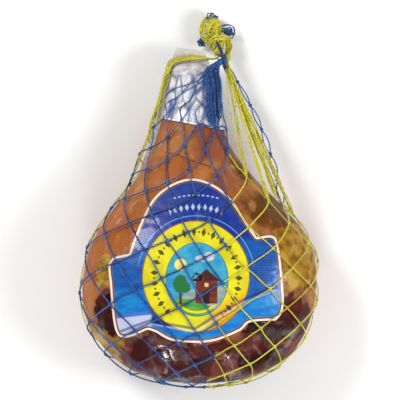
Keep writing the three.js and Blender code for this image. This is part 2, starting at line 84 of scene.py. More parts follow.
# Zones of the ham on its shown and its hidden side: soft ovals with their middle, their half
# lengths and their tilt
MEAT_ZONES = {
    "lean": {
        "shown": [
            [104, -80, 58, 58, 20], [30, -122, 92, 40, 6], [-50, -108, 50, 38, 0], [-115, -46, 17, 32, 4],
        ],
        "hidden": [[10, -128, 120, 44, 0], [-70, -96, 40, 30, 20]],
    },
    "fat": {
        "shown": [
            [112, 22, 42, 42, 0], [104, -12, 20, 26, 0], [-108, -84, 40, 30, -32], [-88, -112, 30, 16, -40],
            [-120, 4, 10, 26, -8],
        ],
        "hidden": [[40, -70, 70, 30, 10], [-90, -20, 34, 60, 0], [100, 10, 34, 50, 0], [0, 60, 40, 30, 30]],
    },
    "dark": {
        "shown": [
            [94, 84, 46, 42, -40], [60, 138, 22, 34, -20], [134, -10, 16, 12, 0], [-120, -30, 9, 16, 0],
            [126, 8, 6, 6, 0],
        ],
        "hidden": [[60, 60, 40, 60, 0], [-40, 120, 30, 40, 0]],
    },
    "red": {"shown": [[18, 168, 44, 34, 0], [30, 120, 30, 26, 0]], "hidden": [[-20, 150, 40, 40, 0]]},
    "orange": {
        "shown": [[-132, 10, 20, 60, -6], [-96, 66, 34, 42, -32], [-30, 128, 46, 24, 0]],
        "hidden": [[-40, 20, 80, 70, 0]],
    },
}
# The skin's crease: a dent in the meat, with painted shade along it
SKIN_CREASE = [[-44, 154], [-27, 151], [-12, 144], [5, 139], [15, 135]]
FILM_GLINTS = [
    [[-54, 159], [-49, 163], [-46, 162]],
    [[7, 142], [16, 139], [21, 133]],
    [[28, 128], [31, 120], [34, 112]],
    [[40, 137], [46, 130]],
    [[-104, 64], [-99, 71]],
    [[-84, 88], [-78, 93]],
    [[104, 84], [110, 74], [112, 66]],
    [[30, -96], [38, -106], [42, -118]],
    [[66, -86], [76, -98]],
    [[-44, -96], [-40, -110], [-43, -122]],
]

# The printed wrap round the shank. A stripe has its place round the wrap, half its width, its
# strength and its tint
WRAP_THICK = 0.9
WRAP_FROM = 250
WRAP_TO = 188
WRAP_SLANT = 8
WRAP_OPENING = 16
WRAP_GAP = 0.9
WRAP_ROWS = 50
WRAP_SIDES = 220
WRAP_STRIPES = [
    (50, 9, 0.9, (34, 84, 170)),
    (88, 2.6, 0.55, (110, 170, 214)),
    (232, 9, 0.9, (34, 84, 170)),
    (300, 3, 0.55, (110, 170, 214)),
]
WIDE_STRIPE = 5

# The label on the belly. A printed oval or box has its middle and half its lengths
LABEL_GAP = 1.2
LABEL_THICK = 0.6
LABEL_CENTRE = np.array([-4.0, -2.0])
LABEL_TOP = 130
LABEL_SIDES = 400
LABEL_RINGS = 42
DOME_POINTS = [
    [-87, 27], [-77, 55], [-59, 92], [-35, 112.5], [-9, 119.5], [17, 111.5], [38, 94], [58, 64], [70, 47],
]
RIGHT_WING = [[88, 49], [96, 38], [102, -12], [102, -41], [94, -55]]
FOOT_POINTS = [[62, -57], [48, -68], [12, -81], [-32, -80], [-55, -69], [-64, -66]]
LEFT_WING = [[-101, -73], [-111, -5], [-112, 14], [-107, 22]]
FOLD_LINE = [[-104, -72], [-62, -56], [-6, -66], [19, -50], [56, -29], [88, -17]]
RING = (-5, -0.75, 66.2, 68.8)
HALO = (-5, -0.75, 72.5, 75)
DISC = (-3.75, -4.4, 38.4, 45)
BEAD_LINE = (-4.4, -2.6, 52.3, 57)
BEAD_TURN = (52, 57)
BEADS = 27
DOME_ROW = 86
DASH_ROW = 100.5
LEFT_PRINT = (-82, 2, 15, 19)
RIGHT_PRINT = (78, 1, 11, 24)
PRINT_PITCH = 3.1
SUN = (-24, 14, 7.5, 7.5)
CLOUD = [(6, 22, 13, 4.5), (12, 26, 7, 4.5)]
FAR_HILL = (14, -46, 46, 34)
NEAR_HILL = (-24, -62, 52, 34)
BARN = (8, -20, 13.5, 14)
BARN_DOOR = (8, -27, 3.6, 7.5)
BARN_WINDOW = (8, -11, 2.4, 2.4)
TREE_TRUNK = (-24, -26, 1.6, 11)
TREE_CROWN = [(-24, -10, 9, 11), (-19, -14, 7, 7)]

# The net: columns of diamonds round the ham, in sectors of two colours. A row has its place
# along the ham, its slant and dip, and how far it is twisted round
COLUMNS = 12
COLUMN_ANGLES = [20, 46, 76, 109, 141, 164, 190, 222, 253, 285, 317, 348]
END_ROW = 12
CORD_LIFT = 0.55
NET_DEPTH = 3.1
ROWS = np.array([
    [-6, 262, 4, 2, 60],
    [-4, 222, 9, 6, 46],
    [-2, 172, 16, 13, 33],
    [0, 123, 24, 25, 12],
    [2, 76, 31, 30, 2],
    [4, 27, 34, 26, 0],
    [6, -20, 28, 26, -3],
    [8, -70, 20, 8, -5],
    [10, -100, 12, 2, -12],
    [12, -115.5, 2, 0, -18],
    [14, -120, 0, 0, -20],
])
SECTORS = [
    {"name": "net_front_blue", "colour": "blue", "from": -1, "to": 3, "top_row": -2},
    {"name": "net_front_yellow", "colour": "yellow", "from": 3, "to": 6, "top_row": 0},
    {"name": "net_back_blue", "colour": "blue", "from": 6, "to": 8, "top_row": 0},
    {"name": "net_back_yellow", "colour": "yellow", "from": 8, "to": 11, "top_row": -2},
]
BORDER_COLOUR = "blue"
CORD_WIDTHS = {"blue": 2.5, "yellow": 2.2}
FREE_COLUMNS = [4, 7]
BAR_WIDTH = 0.86
BAR_SPACING = 1.45
CORD_SPACING = 1.9
KNOT_STEP = 0.2
FIRST_BACK_COLUMN = 4
LAST_FRONT_ROW = -3.99
LAST_BACK_ROW = -5.01
GATHER_SWAY = 0.46
COLLAR = [254, 259, 263.5]
OVER_SEAM = {"y": 271, "above": 48, "below": 34}
CORD_OVER_WRAP = CORD_LIFT + WRAP_THICK + WRAP_GAP
PLY_PITCH = 7
PLY_OFFSET = 0.235
PLY_RADIUS = 0.27
TUBE_SIDES = 5
TUBE_END = 0.35
KNOT_POINTS = 22

# The loose fan of taut cords at the shoulder: row and column of the knot, crossing pairs,
# single cords, how far a pair bows and how far it swells outwards
FAN = {
    "blue": [(0.7, 5.7, 1, 1, 5.0, 11.0), (0, 7, 1, 0, 3.4, 0.0)],
    "yellow": [
        (-1, 3.5, 1, 2, 2.2, 0.0),
        (0, 4, 2, 2, 2.2, 0.0),
        (0, 4.5, 2, 3, 2.2, 0.5),
        (0, 5, 2, 4, 2.2, 1.0),
        (1, 5.5, 1, 3, 2.2, 2.0),
    ],
}
SHOULDER_CORDS = [(0, 4, -1, -0.5), (-1, 3.5, 1, -0.5), (-1, 3.5, -1, -0.5)]

# The hank on the shank: places along it with their middle and half their width, its top, and
# the lanes whose cords run on to knots of the net. An edge cord has its angle and its end
HANK_LINE = [[256, 13, 6], [240, 14, 8], [219, 14, 8.5], [196, 15, 6.5], [184, 15, 5.5]]
HANK_TOP = np.array([13.0, 258.0])
HANK_COLUMN = 3
HANK_LOOPS = 13
HANK_STOPS = (186, 204)
HANK_DEPTH = 3.2
# Tones of the hank's cords, mostly lit and a few shaded: painted highlight and painted shade that give the
# hank depth
HANK_TONES = [0.0, 0.0, 0.1, 0.3, 0.9]
HANK_ROUTES = [
    (-1.0, (-3, 1.5), (-2, 1)),
    (-0.6, (-3, 1.6), (-2, 2)),
    (-0.1, (-3, 2.4), (-2, 2)),
    (0.3, (-3, 2.6), (-2, 3)),
    (0.8, (-3, 3.2), (-2, 3)),
]
EDGE_CORDS = [(-9, -86), (-3, -86), (3, 40), (8, 110), (13, 150), (18, 180)]
EDGE_COLUMN = 10
EDGE_TURNS = np.linspace(-0.9, 0.8, 9)

# The tie knot with its bunched loops. A tuft has its middle, its reach and its number of curls
TIE = np.array([25.0, 271.5, 36.5])
TIE_RADIUS = 7
NECK_PATH = [[25, 276, 38], [22.5, 287, 32], [18.5, 297, 23], [14, 308, 17]]
LOOP_PATH = [[22, 288, 31], [29, 298, 29], [36, 292, 24], [36, 281, 20], [33, 270, 17]]
CURL_PATH = [[24, 298, 26], [34, 305, 24], [43, 302, 17], [43, 312, 10], [34, 315, 9], [24, 311, 14]]
TAIL_PATH = [[20, 294, 35], [25, 284, 44], [29, 272, 47.5], [32, 258, 45]]
COIL_STARTS = [0.4, 0.52]
COIL_TURNS = 2.2
COIL_REACH = 8.8
BULB_CENTRE = np.array([13.3, 308.0, 15.6])
BULB_REACH = np.array([14.6, 19.5, 14.4])
BULB_LOOPS = 72
BLUE_LOOP_EVERY = 14
BLUE_TUFTS = [([14, 324, 16], [10, 7, 9], 22), ([3, 293, 12], [7, 8, 8], 18), ([35, 304, 15], [10, 9, 9], 18)]
# Each twine colour as a lit, a middle and a shaded tint: the lit and the shaded tints are painted highlight
# and painted shade
TWINE_TINTS = {
    "blue": [(56, 122, 192), (22, 60, 152), (12, 24, 74)],
    "yellow": [(238, 232, 84), (220, 210, 22), (160, 150, 30)],
}

# Floor, lights and camera, in metres. A lamp has its place, its size and its power
FLOOR_REACH = 3.0
FLOOR_LEVEL = -0.0004
FLOOR_TINT = (255, 255, 255)
WORLD_STRENGTH = 0.42
LAMPS = {
    "key": ((-1.3, 1.3, 1.8), 0.8, 30),
    "fill": ((1.7, -0.2, 1.5), 0.9, 24),
    "low": ((-0.2, -1.9, 1.1), 0.7, 13),
}
LAMP_AIM = (0, 0.07, 0.08)
CAMERA_PLACE = (0, 0.09375, 6.0)
SENSOR_WIDTH = 36
PICTURE_LEVEL = 0.07
PICTURE_WIDTH = 0.5


# Lines and the film's surface
def spline_rows(table, place):
    """Smooth curve through the rows of a table, by place in the table."""
    place = np.asarray(place, float)
    last = len(table) - 1
    index = np.clip(np.floor(place).astype(int), 0, last - 1)
    t = (place - index)[..., None]
    a, b, c, d = (table[np.clip(index + step, 0, last)] for step in (-1, 0, 1, 2))
    square = (2 * a - 5 * b + 4 * c - d) * t * t
    cube = (3 * b - a - 3 * c + d) * t * t * t
    return 0.5 * (2 * b + (c - a) * t + square + cube)


def line_at(line, places):
    """Points of a line at places given by point number."""
    return np.stack([np.interp(places, np.arange(len(line)), values) for values in line.T], -1)


def lengths(line):
    """Length along a line at each of its points."""
    return np.concatenate([[0], np.cumsum(np.linalg.norm(np.diff(line, axis=0), axis=1))])


def smooth_line(points, spacing):
    """A smooth line through points, with even steps of about the given length."""
    table = np.asarray(points, float)
    dense = spline_rows(table, np.linspace(0, len(table) - 1, DENSE_POINTS * len(table)))
    length = lengths(dense)
    marks = np.linspace(0, length[-1], max(4, int(length[-1] / spacing)))
    return np.stack([np.interp(marks, length, values) for values in dense.T], -1)


def line_distance(points, line):
    """Distance from points on the plan to a line of points."""
    best = np.full(points.shape[:-1], 1e9)
    for a, b in zip(line[:-1], line[1:]):
        a = np.asarray(a, float)
        way = np.asarray(b, float) - a
        t = np.clip(((points - a) @ way) / max(way @ way, 1e-9), 0, 1)
        best = np.minimum(best, np.linalg.norm(points - a - t[..., None] * way, axis=-1))
    return best


def unit(vectors):
    return vectors / np.maximum(np.linalg.norm(vectors, axis=-1, keepdims=True), 1e-9)


def around(angle, side_a, side_b):
    """Directions at angles between two sides."""
    return np.cos(angle)[..., None] * side_a + np.sin(angle)[..., None] * side_b


def cross_ways(path):
    """Two directions across a path that turn with it as little as possible."""
    ahead = unit(np.gradient(path, axis=0))
    current = np.array([0.0, 0.0, 1.0]) if abs(ahead[0][2]) < 0.9 else np.array([1.0, 0.0, 0.0])
    first = np.zeros_like(path)
    for index, way in enumerate(ahead):
        current = unit(current - way * (current @ way))
        first[index] = current
    return first, np.cross(ahead, first)


def smoothstep(value, low, high):
    t = np.clip((value - low) / (high - low), 0, 1)
    return t * t * (3 - 2 * t)


def noise(points, size, seed):
    """Smooth noise from -1 to 1 with bumps of about the given size."""
    grid = np.asarray(points, float) / size
    cell = np.floor(grid).astype(np.int64)
    t = grid - cell
    t = t * t * (3 - 2 * t)
    total = np.zeros(grid.shape[:-1])
    for corner in np.ndindex(2, 2, 2):
        key = cell + np.array(corner)
        mixed = (key[..., 0] * 73856093) ^ (key[..., 1] * 19349663) ^ (key[..., 2] * 83492791) ^ (seed * 7919)
        mixed = ((mixed ^ (mixed >> 13)) * 1274126177) & 0x7FFFFFFF
        value = ((mixed >> 8) & 0xFFFF) / 32767.5 - 1
        total += value * np.prod(np.where(np.array(corner) == 1, t, 1 - t), axis=-1)
    return total


DENSE_PLACES = np.linspace(0, len(STATIONS) - 1, PLACES_PER_STATION * (len(STATIONS) - 1) + 1)
DENSE_ALONGS = spline_rows(STATIONS, DENSE_PLACES)[:, 0]


def section_at(place):
    along, left, right, under, top, lean = np.moveaxis(spline_rows(STATIONS, place), -1, 0)
    height = top - under
    return {
        "along": along,
        "lean": lean,
        "centre": (left + right) / 2,
        "half": np.maximum((right - left) / 2, 0.001),
        "level": under + height * WIDEST_LEVEL,
        "above": np.maximum(height * (1 - WIDEST_LEVEL), 0.001),
        "below": np.maximum(height * WIDEST_LEVEL, 0.001),
    }


def section_along(along):
    return section_at(np.interp(-np.asarray(along, float), -DENSE_ALONGS, DENSE_PLACES))


def surface_of(section, degrees):
    """A point of the film's surface, by section and angle round it: 0 is left and 90 is up."""
    angle = np.radians(degrees)
    across = np.cos(angle)
    up = np.sin(angle)
    height = np.where(up > 0, section["above"], section["below"])
    shape = (np.abs(across) / section["half"]) ** SECTION_POWER + (np.abs(up) / height) ** SECTION_POWER
    reach = shape ** (-1 / SECTION_POWER)
    x = section["centre"] - reach * across
    z = section["level"] + reach * up
    y = section["along"] - section["lean"] * (z - LEAN_PIVOT)
    return np.stack([x, y, np.maximum(z, 0)], -1)


def surface_at(along, degrees):
    return surface_of(section_along(along), degrees)


def normal_at(along, degrees, step=1.5):
    ahead = surface_at(along + step, degrees) - surface_at(along - step, degrees)
    across = surface_at(along, degrees + step) - surface_at(along, degrees - step)
    return -unit(np.cross(ahead, across))


def surface_above(x, y):
    """The film's surface straight above places on the plan."""
    along = y
    z = np.zeros_like(x)
    for _ in range(PLAN_STEPS):
        section = section_along(along)
        ratio = np.minimum(0.999, np.abs(x - section["centre"]) / section["half"])
        rise = (1 - ratio ** SECTION_POWER) ** (1 / SECTION_POWER)
        z = section["level"] + section["above"] * rise
        along = y + section["lean"] * (z - LEAN_PIVOT)
    return np.stack([x, y, z], -1)


def normal_above(x, y, step=1.5):
    ahead = surface_above(x, y + step) - surface_above(x, y - step)
    across = surface_above(x + step, y) - surface_above(x - step, y)
    return unit(np.cross(across, ahead))


# Meshes
def make_object(name, points, faces, node, material, values):
    mesh = bpy.data.meshes.new(name)
    mesh.from_pydata((np.asarray(points) * MM).tolist(), [], faces)
    for key, numbers in values.items():
        attribute = mesh.attributes.new(key, "FLOAT", "POINT")
        attribute.data.foreach_set("value", np.asarray(numbers, np.float32).ravel())
    mesh.polygons.foreach_set("use_smooth", [True] * len(mesh.polygons))
    mesh.materials.append(material)
    mesh.update()
    piece = bpy.data.objects.new(name, mesh)
    bpy.context.scene.collection.objects.link(piece)
    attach(piece, "root")
    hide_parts(node)


def grid_faces(rows, columns, closed, start=0):
    steps = columns if closed else columns - 1
    row, column = np.meshgrid(np.arange(rows - 1), np.arange(steps), indexing="ij")
    a = (start + row * columns + column).ravel()
    b = (start + row * columns + (column + 1) % columns).ravel()
    return np.stack([a, a + columns, b + columns, b], -1).tolist()


def rim_faces(rim, count):
    """Faces between the upper and the lower side of a sheet, round its rim."""
    return [[a, a + count, b + count, b] for a, b in zip(rim, rim[1:] + rim[:1])]


def sheet_faces(rows, columns):
    """Faces of a thin sheet: its upper side, its lower side and the rim between them."""
    count = rows * columns
    faces = grid_faces(rows, columns, False)
    faces += [face[::-1] for face in grid_faces(rows, columns, False, count)]
    rim = list(range(columns))
    rim += [row * columns + columns - 1 for row in range(1, rows)]
    rim += [(rows - 1) * columns + column for column in range(columns - 2, -1, -1)]
    rim += [row * columns for row in range(rows - 2, 0, -1)]
    return faces + rim_faces(rim, count)


def joined(*grids):
    """The points of several grids in one list."""
    return np.concatenate([grid.reshape(-1, 3) for grid in grids])


class Strands:
    """A mesh of many thin twisted cords of one colour."""

    def __init__(self, colour):
        self.colour = colour
        self.points = []
        self.faces = []
        self.values = {"ply": [], "tone": []}
        self.count = 0

    def tube(self, path, ways, radius, ply, tone):
        """A tube with narrow closed ends, from a path and two directions across it."""
        turns = np.arange(TUBE_SIDES) * 2 * math.pi / TUBE_SIDES
        rings = around(turns, *(way[:, None] for way in ways))
        reach = np.full(len(path), radius)
        reach[[0, -1]] *= TUBE_END
        points = (path[:, None] + reach[:, None, None] * rings).reshape(-1, 3)
        last = self.count + (len(path) - 1) * TUBE_SIDES
        self.faces += grid_faces(len(path), TUBE_SIDES, True, self.count)
        self.faces.append([self.count + side for side in range(TUBE_SIDES)])
        self.faces.append([last + side for side in reversed(range(TUBE_SIDES))])
        self.points.append(points)
        self.values["ply"].append(np.full(len(points), ply))
        self.values["tone"].append(np.full(len(points), tone))
        self.count += len(points)

    def twine(self, points, spacing, width, tone, phase=0.0):
        """A cord of two twisted plies on a smooth line through points."""
        path = smooth_line(points, spacing)
        ways = cross_ways(path)
        for ply in (0, 1):
            angle = phase + 2 * math.pi * lengths(path) / PLY_PITCH + math.pi * ply
            centre = path + width * PLY_OFFSET * around(angle, *ways)
            self.tube(centre, ways, width * PLY_RADIUS, ply, tone)

    def knot(self, centre, along, across, out, size, tone):
        """A small three-lobed knot lying on the net, with a loop round it."""
        t = np.linspace(0, 2 * math.pi, KNOT_POINTS)
        lobe_x = 0.2 * (np.sin(t) + 1.5 * np.sin(2 * t))[:, None] * across
        lobe_y = 0.2 * (np.cos(t) - 1.5 * np.cos(2 * t))[:, None] * along
        lobe_z = -0.22 * np.sin(3 * t)[:, None] * out
        loop = around(t, 0.36 * along, 0.252 * out) + 0.1 * np.sin(2 * t)[:, None] * across
        for ply, shape, radius in ((0, lobe_x + lobe_y + lobe_z, 0.19), (1, loop, 0.17)):
            path = centre + size * shape
            self.tube(path, cross_ways(path), size * radius, ply, tone)

    def build(self, name, node):
        points = np.concatenate(self.points)
        points[:, 2] = np.maximum(points[:, 2], CORD_FLOOR)
        values = {key: np.concatenate(parts) for key, parts in self.values.items()}
        make_object(name, points, self.faces, node, TWINE_LOOKS[self.colour], values)


# Materials
def linear_colour(values):
    """Linear colour from the usual 0 to 255 values."""
    shares = [value / 255 for value in values]
    return [s / 12.92 if s <= 0.04045 else ((s + 0.055) / 1.055) ** 2.4 for s in shares] + [1.0]


class Nodes:
    """Short calls to build a node material."""

    def __init__(self, name):
        self.material = bpy.data.materials.new(name)
        self.material.use_nodes = True
        self.tree = self.material.node_tree
        self.tree.nodes.clear()
        self.place = self.node("TexCoord").outputs["Object"]

    def node(self, kind, inputs=None, **settings):
        """A new node. An input is a link, a number, or a colour in 0 to 255 values."""
        node = self.tree.nodes.new("ShaderNode" + kind)
        for name, value in settings.items():
            setattr(node, name, value)
        for name, value in (inputs or {}).items():
            socket = node.inputs[name]
            if isinstance(value, bpy.types.NodeSocket):
                self.tree.links.new(value, socket)
            elif socket.type == "RGBA":
                socket.default_value = linear_colour(value)
            else:
                socket.default_value = value
        return node

    def math(self, operation, a, b=0.0, clamp=False):
        return self.node("Math", {0: a, 1: b}, operation=operation, use_clamp=clamp).outputs[0]

    def add(self, first, *others):
        for value in others:
            first = self.math("ADD", first, value)
        return first

    def times(self, first, *others):
        for value in others:
            first = self.math("MULTIPLY", first, value)
        return first

    def away(self, value, middle):
        """How far a value lies from a middle value."""
        return self.math("ABSOLUTE", self.add(value, -middle))

    def fade(self, value, low, high, start=0.0, end=1.0):
        """A smooth step from one value to another."""
        inputs = dict(enumerate((value, low, high, start, end)))
        return self.node("MapRange", inputs, interpolation_type="SMOOTHSTEP").outputs[0]

    def beside(self, value, middle, half, soft=0.4):
        """1 where a value lies near a middle value, and 0 elsewhere."""
        return self.fade(self.away(value, middle), half + soft, half - soft)

    def mix(self, share, a, b):
        return self.node("Mix", {0: share, 6: a, 7: b}, data_type="RGBA").outputs[2]

    def blend(self, field, low, high, a, b):
        return self.mix(self.fade(field, low, high), a, b)

    def layers(self, colour, *coats):
        """Coats over a colour, each with its share and its tint."""
        for share, tint in coats:
            colour = self.mix(share, colour, tint)
        return colour

    def paint(self, colour, *coats):
        """Coats over a colour: a field, where it fades in, the coat's strength and its tint."""
        for field, low, high, share, tint in coats:
            colour = self.mix(self.fade(field, low, high, 0.0, share), colour, tint)
        return colour

    def attribute(self, name):
        return self.node("Attribute", attribute_name=name).outputs["Fac"]

    def stretched(self, scale):
        if scale is None:
            return self.place
        return self.node("Mapping", {"Vector": self.place, "Scale": scale}).outputs[0]

    def noise(self, size, detail=3.0, roughness=0.55, stretch=None, distortion=0.0):
        """Noise from 0 to 1 with bumps of about the given size."""
        inputs = {"Vector": self.stretched(stretch), "Scale": 1 / (size * MM), "Detail": detail}
        inputs.update({"Roughness": roughness, "Distortion": distortion})
        return self.node("TexNoise", inputs).outputs[0]

    def cells(self, size, stretch):
        """Distance from the edges of angular cells."""
        inputs = {"Vector": self.stretched(stretch), "Scale": 1 / (size * MM)}
        return self.node("TexVoronoi", inputs, feature="DISTANCE_TO_EDGE").outputs[0]

    def patches(self, size, stretch, seed=0.0):
        """Angular patches, each with its own value from 0 to 1."""
        place = self.stretched(stretch)
        bend = self.node("TexNoise", {"Vector": place, "Scale": 1 / (size * 0.9 * MM), "Detail": 1.0})
        inputs = {0: bend.outputs["Color"], 1: (size * 0.8 * MM,) * 3, 2: place}
        bent = self.node("VectorMath", inputs, operation="MULTIPLY_ADD")
        moved = self.node("VectorMath", {0: bent.outputs[0], 1: (seed * MM, seed * MM * 0.5, 0)})
        cell = self.node("TexVoronoi", {"Vector": moved.outputs[0], "Scale": 1 / (size * MM)})
        return self.node("SeparateColor", {0: cell.outputs["Color"]}).outputs[0]

    def bump(self, height, strength, distance):
        inputs = {"Height": height, "Strength": strength, "Distance": distance * MM}
        return self.node("Bump", inputs).outputs[0]

    def shader(self, colour, roughness, **sockets):
        inputs = {"Base Color": colour, "Roughness": roughness}
        inputs.update({name.replace("_", " "): value for name, value in sockets.items()})
        return self.node("BsdfPrincipled", inputs).outputs[0]

    def see_through(self, share, body):
        """A shader that is clear except for a share of it."""
        clear = self.node("BsdfTransparent").outputs[0]
        return self.node("MixShader", {0: share, 1: clear, 2: body}).outputs[0]

    def finish(self, surface):
        self.node("OutputMaterial", {"Surface": surface})
        return self.material


def meat_material():
    n = Nodes("cured_meat")
    broad = n.noise(34, 3, 0.5)
    middle = n.noise(11, 4, 0.55)
    fine = n.noise(2.6, 3, 0.6)
    streaks = n.noise(12, 4, 0.6, (1, 0.35, 1), 0.5)
    ragged = n.add(n.times(n.add(broad, -0.5), 0.9), n.times(n.add(middle, -0.5), 0.7))
    zones = {name: n.add(n.attribute(name), ragged) for name in ("lean", "fat", "dark", "orange")}
    red = n.add(n.attribute("red"), n.times(ragged, 0.5))
    skin = n.paint(
        n.blend(broad, 0.38, 0.62, (190, 124, 66), (170, 102, 52)),
        (middle, 0.52, 0.72, 0.45, (146, 84, 48)),
        (red, 0.1, 0.6, 0.8, (150, 82, 60)),
        (zones["orange"], 0.0, 0.6, 0.75, (178, 98, 40)),
        (zones["dark"], 0.0, 0.5, 0.92, (98, 58, 12)),
        (streaks, 0.56, 0.7, 0.5, (134, 70, 40)),
        (streaks, 0.42, 0.32, 0.5, (206, 148, 92)),
    )
    fat = n.blend(middle, 0.35, 0.65, (176, 136, 34), (136, 88, 18))
    fat = n.paint(fat, (n.noise(20, 3, 0.5), 0.48, 0.64, 0.75, (206, 170, 84)))
    large_cut = n.patches(25, (1, 0.8, 1))
    small_cut = n.patches(12, (1, 1.3, 1), 40.0)
    veins = n.cells(15, (1, 1.6, 1))
    # Pale pinkish patches on the lean stand for highlights: painted highlight
    pale = n.times(n.fade(large_cut, 0.74, 0.8, 0, 0.6), n.fade(middle, 0.4, 0.6, 0.3, 1))
    fatty = n.times(n.fade(small_cut, 0.84, 0.88), n.fade(broad, 0.45, 0.6, 0, 0.6))
    veined = n.times(n.fade(veins, 0.03, 0.0), n.fade(middle, 0.55, 0.7, 0, 0.3))
    lean = n.layers(
        n.blend(broad, 0.35, 0.65, (40, 8, 8), (92, 26, 20)),
        (n.fade(large_cut, 0.4, 0.2, 0, 0.5), (38, 8, 8)),
        (pale, (140, 72, 64)),
        (fatty, (142, 98, 72)),
        (veined, (170, 128, 96)),
    )
    shank_end = n.blend(middle, 0.35, 0.65, (226, 222, 226), (170, 166, 172))
    colour = n.paint(
        skin,
        (zones["fat"], 0.0, 0.12, 1, fat),
        (n.away(zones["lean"], 0), 0.16, 0.02, 0.55, (146, 92, 44)),
        (zones["lean"], 0.0, 0.08, 1, lean),
        # The skin's crease darkened: painted shade.
        (n.attribute("crease"), 0.2, 0.9, 0.75, (78, 34, 26)),
        (n.attribute("cap"), 0.1, 0.9, 1, shank_end),
    )
    height = n.add(n.times(n.noise(16, 4, 0.55, None, 0.6), 0.8), n.times(fine, 0.12))
    roughness = n.fade(middle, 0.35, 0.7, 0.36, 0.5)
    gloss = {"Coat_Weight": 0.03, "Coat_Roughness": 0.1, "Specular_IOR_Level": 0.08}
    return n.finish(n.shader(colour, roughness, Normal=n.bump(height, 0.6, 2.6), **gloss))


def film_material():
    n = Nodes("clear_film")
    wrinkle = n.noise(9, 4, 0.6, (1, 0.5, 1), 0.4)
    folds = n.fade(n.cells(26, (1, 0.7, 1)), 0.0, 0.12, 1, 0)
    normal = n.bump(n.add(n.times(wrinkle, 0.8), n.times(folds, 0.4)), 0.6, 1.4)
    crease = n.attribute("crease")
    # Creases and glint lines make the film whiter and less clear: painted highlight
    tint = n.blend(crease, 0.35, 0.9, (214, 206, 202), (246, 242, 238))
    haze = n.fade(n.noise(30, 3, 0.6), 0.58, 0.8, 0.0, 0.025)
    facet = n.fade(n.patches(13, (1, 0.7, 1), 90.0), 0.8, 0.86, 0, 0.12)
    glints = n.times(facet, n.attribute("loose"), n.fade(wrinkle, 0.4, 0.6))
    edge_on = n.node("LayerWeight", {"Blend": 0.35, "Normal": normal}).outputs["Fresnel"]
    plain = n.add(haze, glints, n.times(crease, 0.34))
    share = n.math("ADD", plain, n.times(edge_on, 0.15), clamp=True)
    return n.finish(n.see_through(share, n.shader(tint, 0.12, Normal=normal, Metallic=0.85)))


def seam_material():
    n = Nodes("film_seam")
    ribs = n.noise(6, 3, 0.6, (1, 4, 1))
    normal = n.bump(n.add(ribs, n.noise(3, 2, 0.5)), 0.6, 1.0)
    colour = n.blend(ribs, 0.4, 0.65, (230, 228, 218), (204, 200, 188))
    body = n.shader(colour, 0.2, Normal=normal, Coat_Weight=0.4, Coat_Roughness=0.1)
    return n.finish(n.see_through(n.fade(n.noise(14, 3, 0.6), 0.3, 0.7, 0.5, 0.75), body))


def twine_material(name, light, middle, dark):
    n = Nodes(name)
    tone = n.attribute("tone")
    colour = n.blend(n.noise(1.7, 2, 0.6), 0.42, 0.6, middle, light)
    # One ply is painted in patches with the shaded tint, and a cord with a high tone takes the shaded tint
    # and one with a low tone the lit tint: painted shade and painted highlight
    ply_shade = n.fade(n.noise(13, 2, 0.5), 0.3, 0.7, 0.25, 0.8)
    colour = n.mix(n.times(n.attribute("ply"), ply_shade), colour, dark)
    colour = n.paint(colour, (tone, 0.35, 1.0, 0.65, dark), (tone, 0.3, 0.0, 0.6, light))
    normal = n.bump(n.noise(0.7, 2, 0.6), 0.5, 0.35)
    return n.finish(n.shader(colour, 0.72, Normal=normal, Sheen_Weight=0.08, Sheen_Roughness=0.5))


def wrap_material():
    n = Nodes("printed_wrap")
    turn = n.attribute("turn")
    up = n.attribute("up")
    crinkle = n.noise(8, 4, 0.65, (1, 0.55, 1), 0.6)
    folds = n.cells(19, (1, 0.45, 1))
    wobble = n.times(n.add(n.noise(12, 3, 0.6), -0.5), 16)
    # Darker where the wrap crinkles: painted shade in the crinkles
    colour = n.blend(crinkle, 0.4, 0.62, (246, 246, 248), (186, 190, 202))
    colour = n.paint(colour, (n.noise(17, 3, 0.6), 0.52, 0.66, 0.5, (222, 200, 200)))
    for middle, width, strength, tint in WRAP_STRIPES:
        stripe = n.fade(n.away(n.add(turn, wobble), middle), width, width * 0.55, 0, strength)
        if width > WIDE_STRIPE:
            stripe = n.times(stripe, n.fade(n.add(up, n.times(wobble, 0.5)), 22, 30, 1, 0))
        colour = n.mix(stripe, colour, tint)
    gather = n.fade(n.away(n.add(turn, n.times(wobble, 0.6)), 35), 6, 2, 0, 0.75)
    colour = n.mix(n.times(gather, n.fade(up, 30, 40)), colour, (84, 88, 104))
    colour = n.paint(
        colour,
        (up, 2.8, 2.2, 1, (250, 250, 250)),
        (n.away(up, 3.6), 0.9, 0.4, 0.5, (150, 160, 180)),
        # Dark lines at the edges of folds: painted shade in the folds
        (n.add(folds, n.times(n.add(crinkle, -0.5), 0.2)), 0.1, 0.0, 0.85, (84, 92, 120)),
    )
    normal = n.bump(n.add(crinkle, n.times(n.fade(folds, 0.0, 0.2), 0.5)), 0.9, 2.0)
    return n.finish(n.shader(colour, 0.22, Normal=normal, Coat_Weight=0.6, Coat_Roughness=0.08))


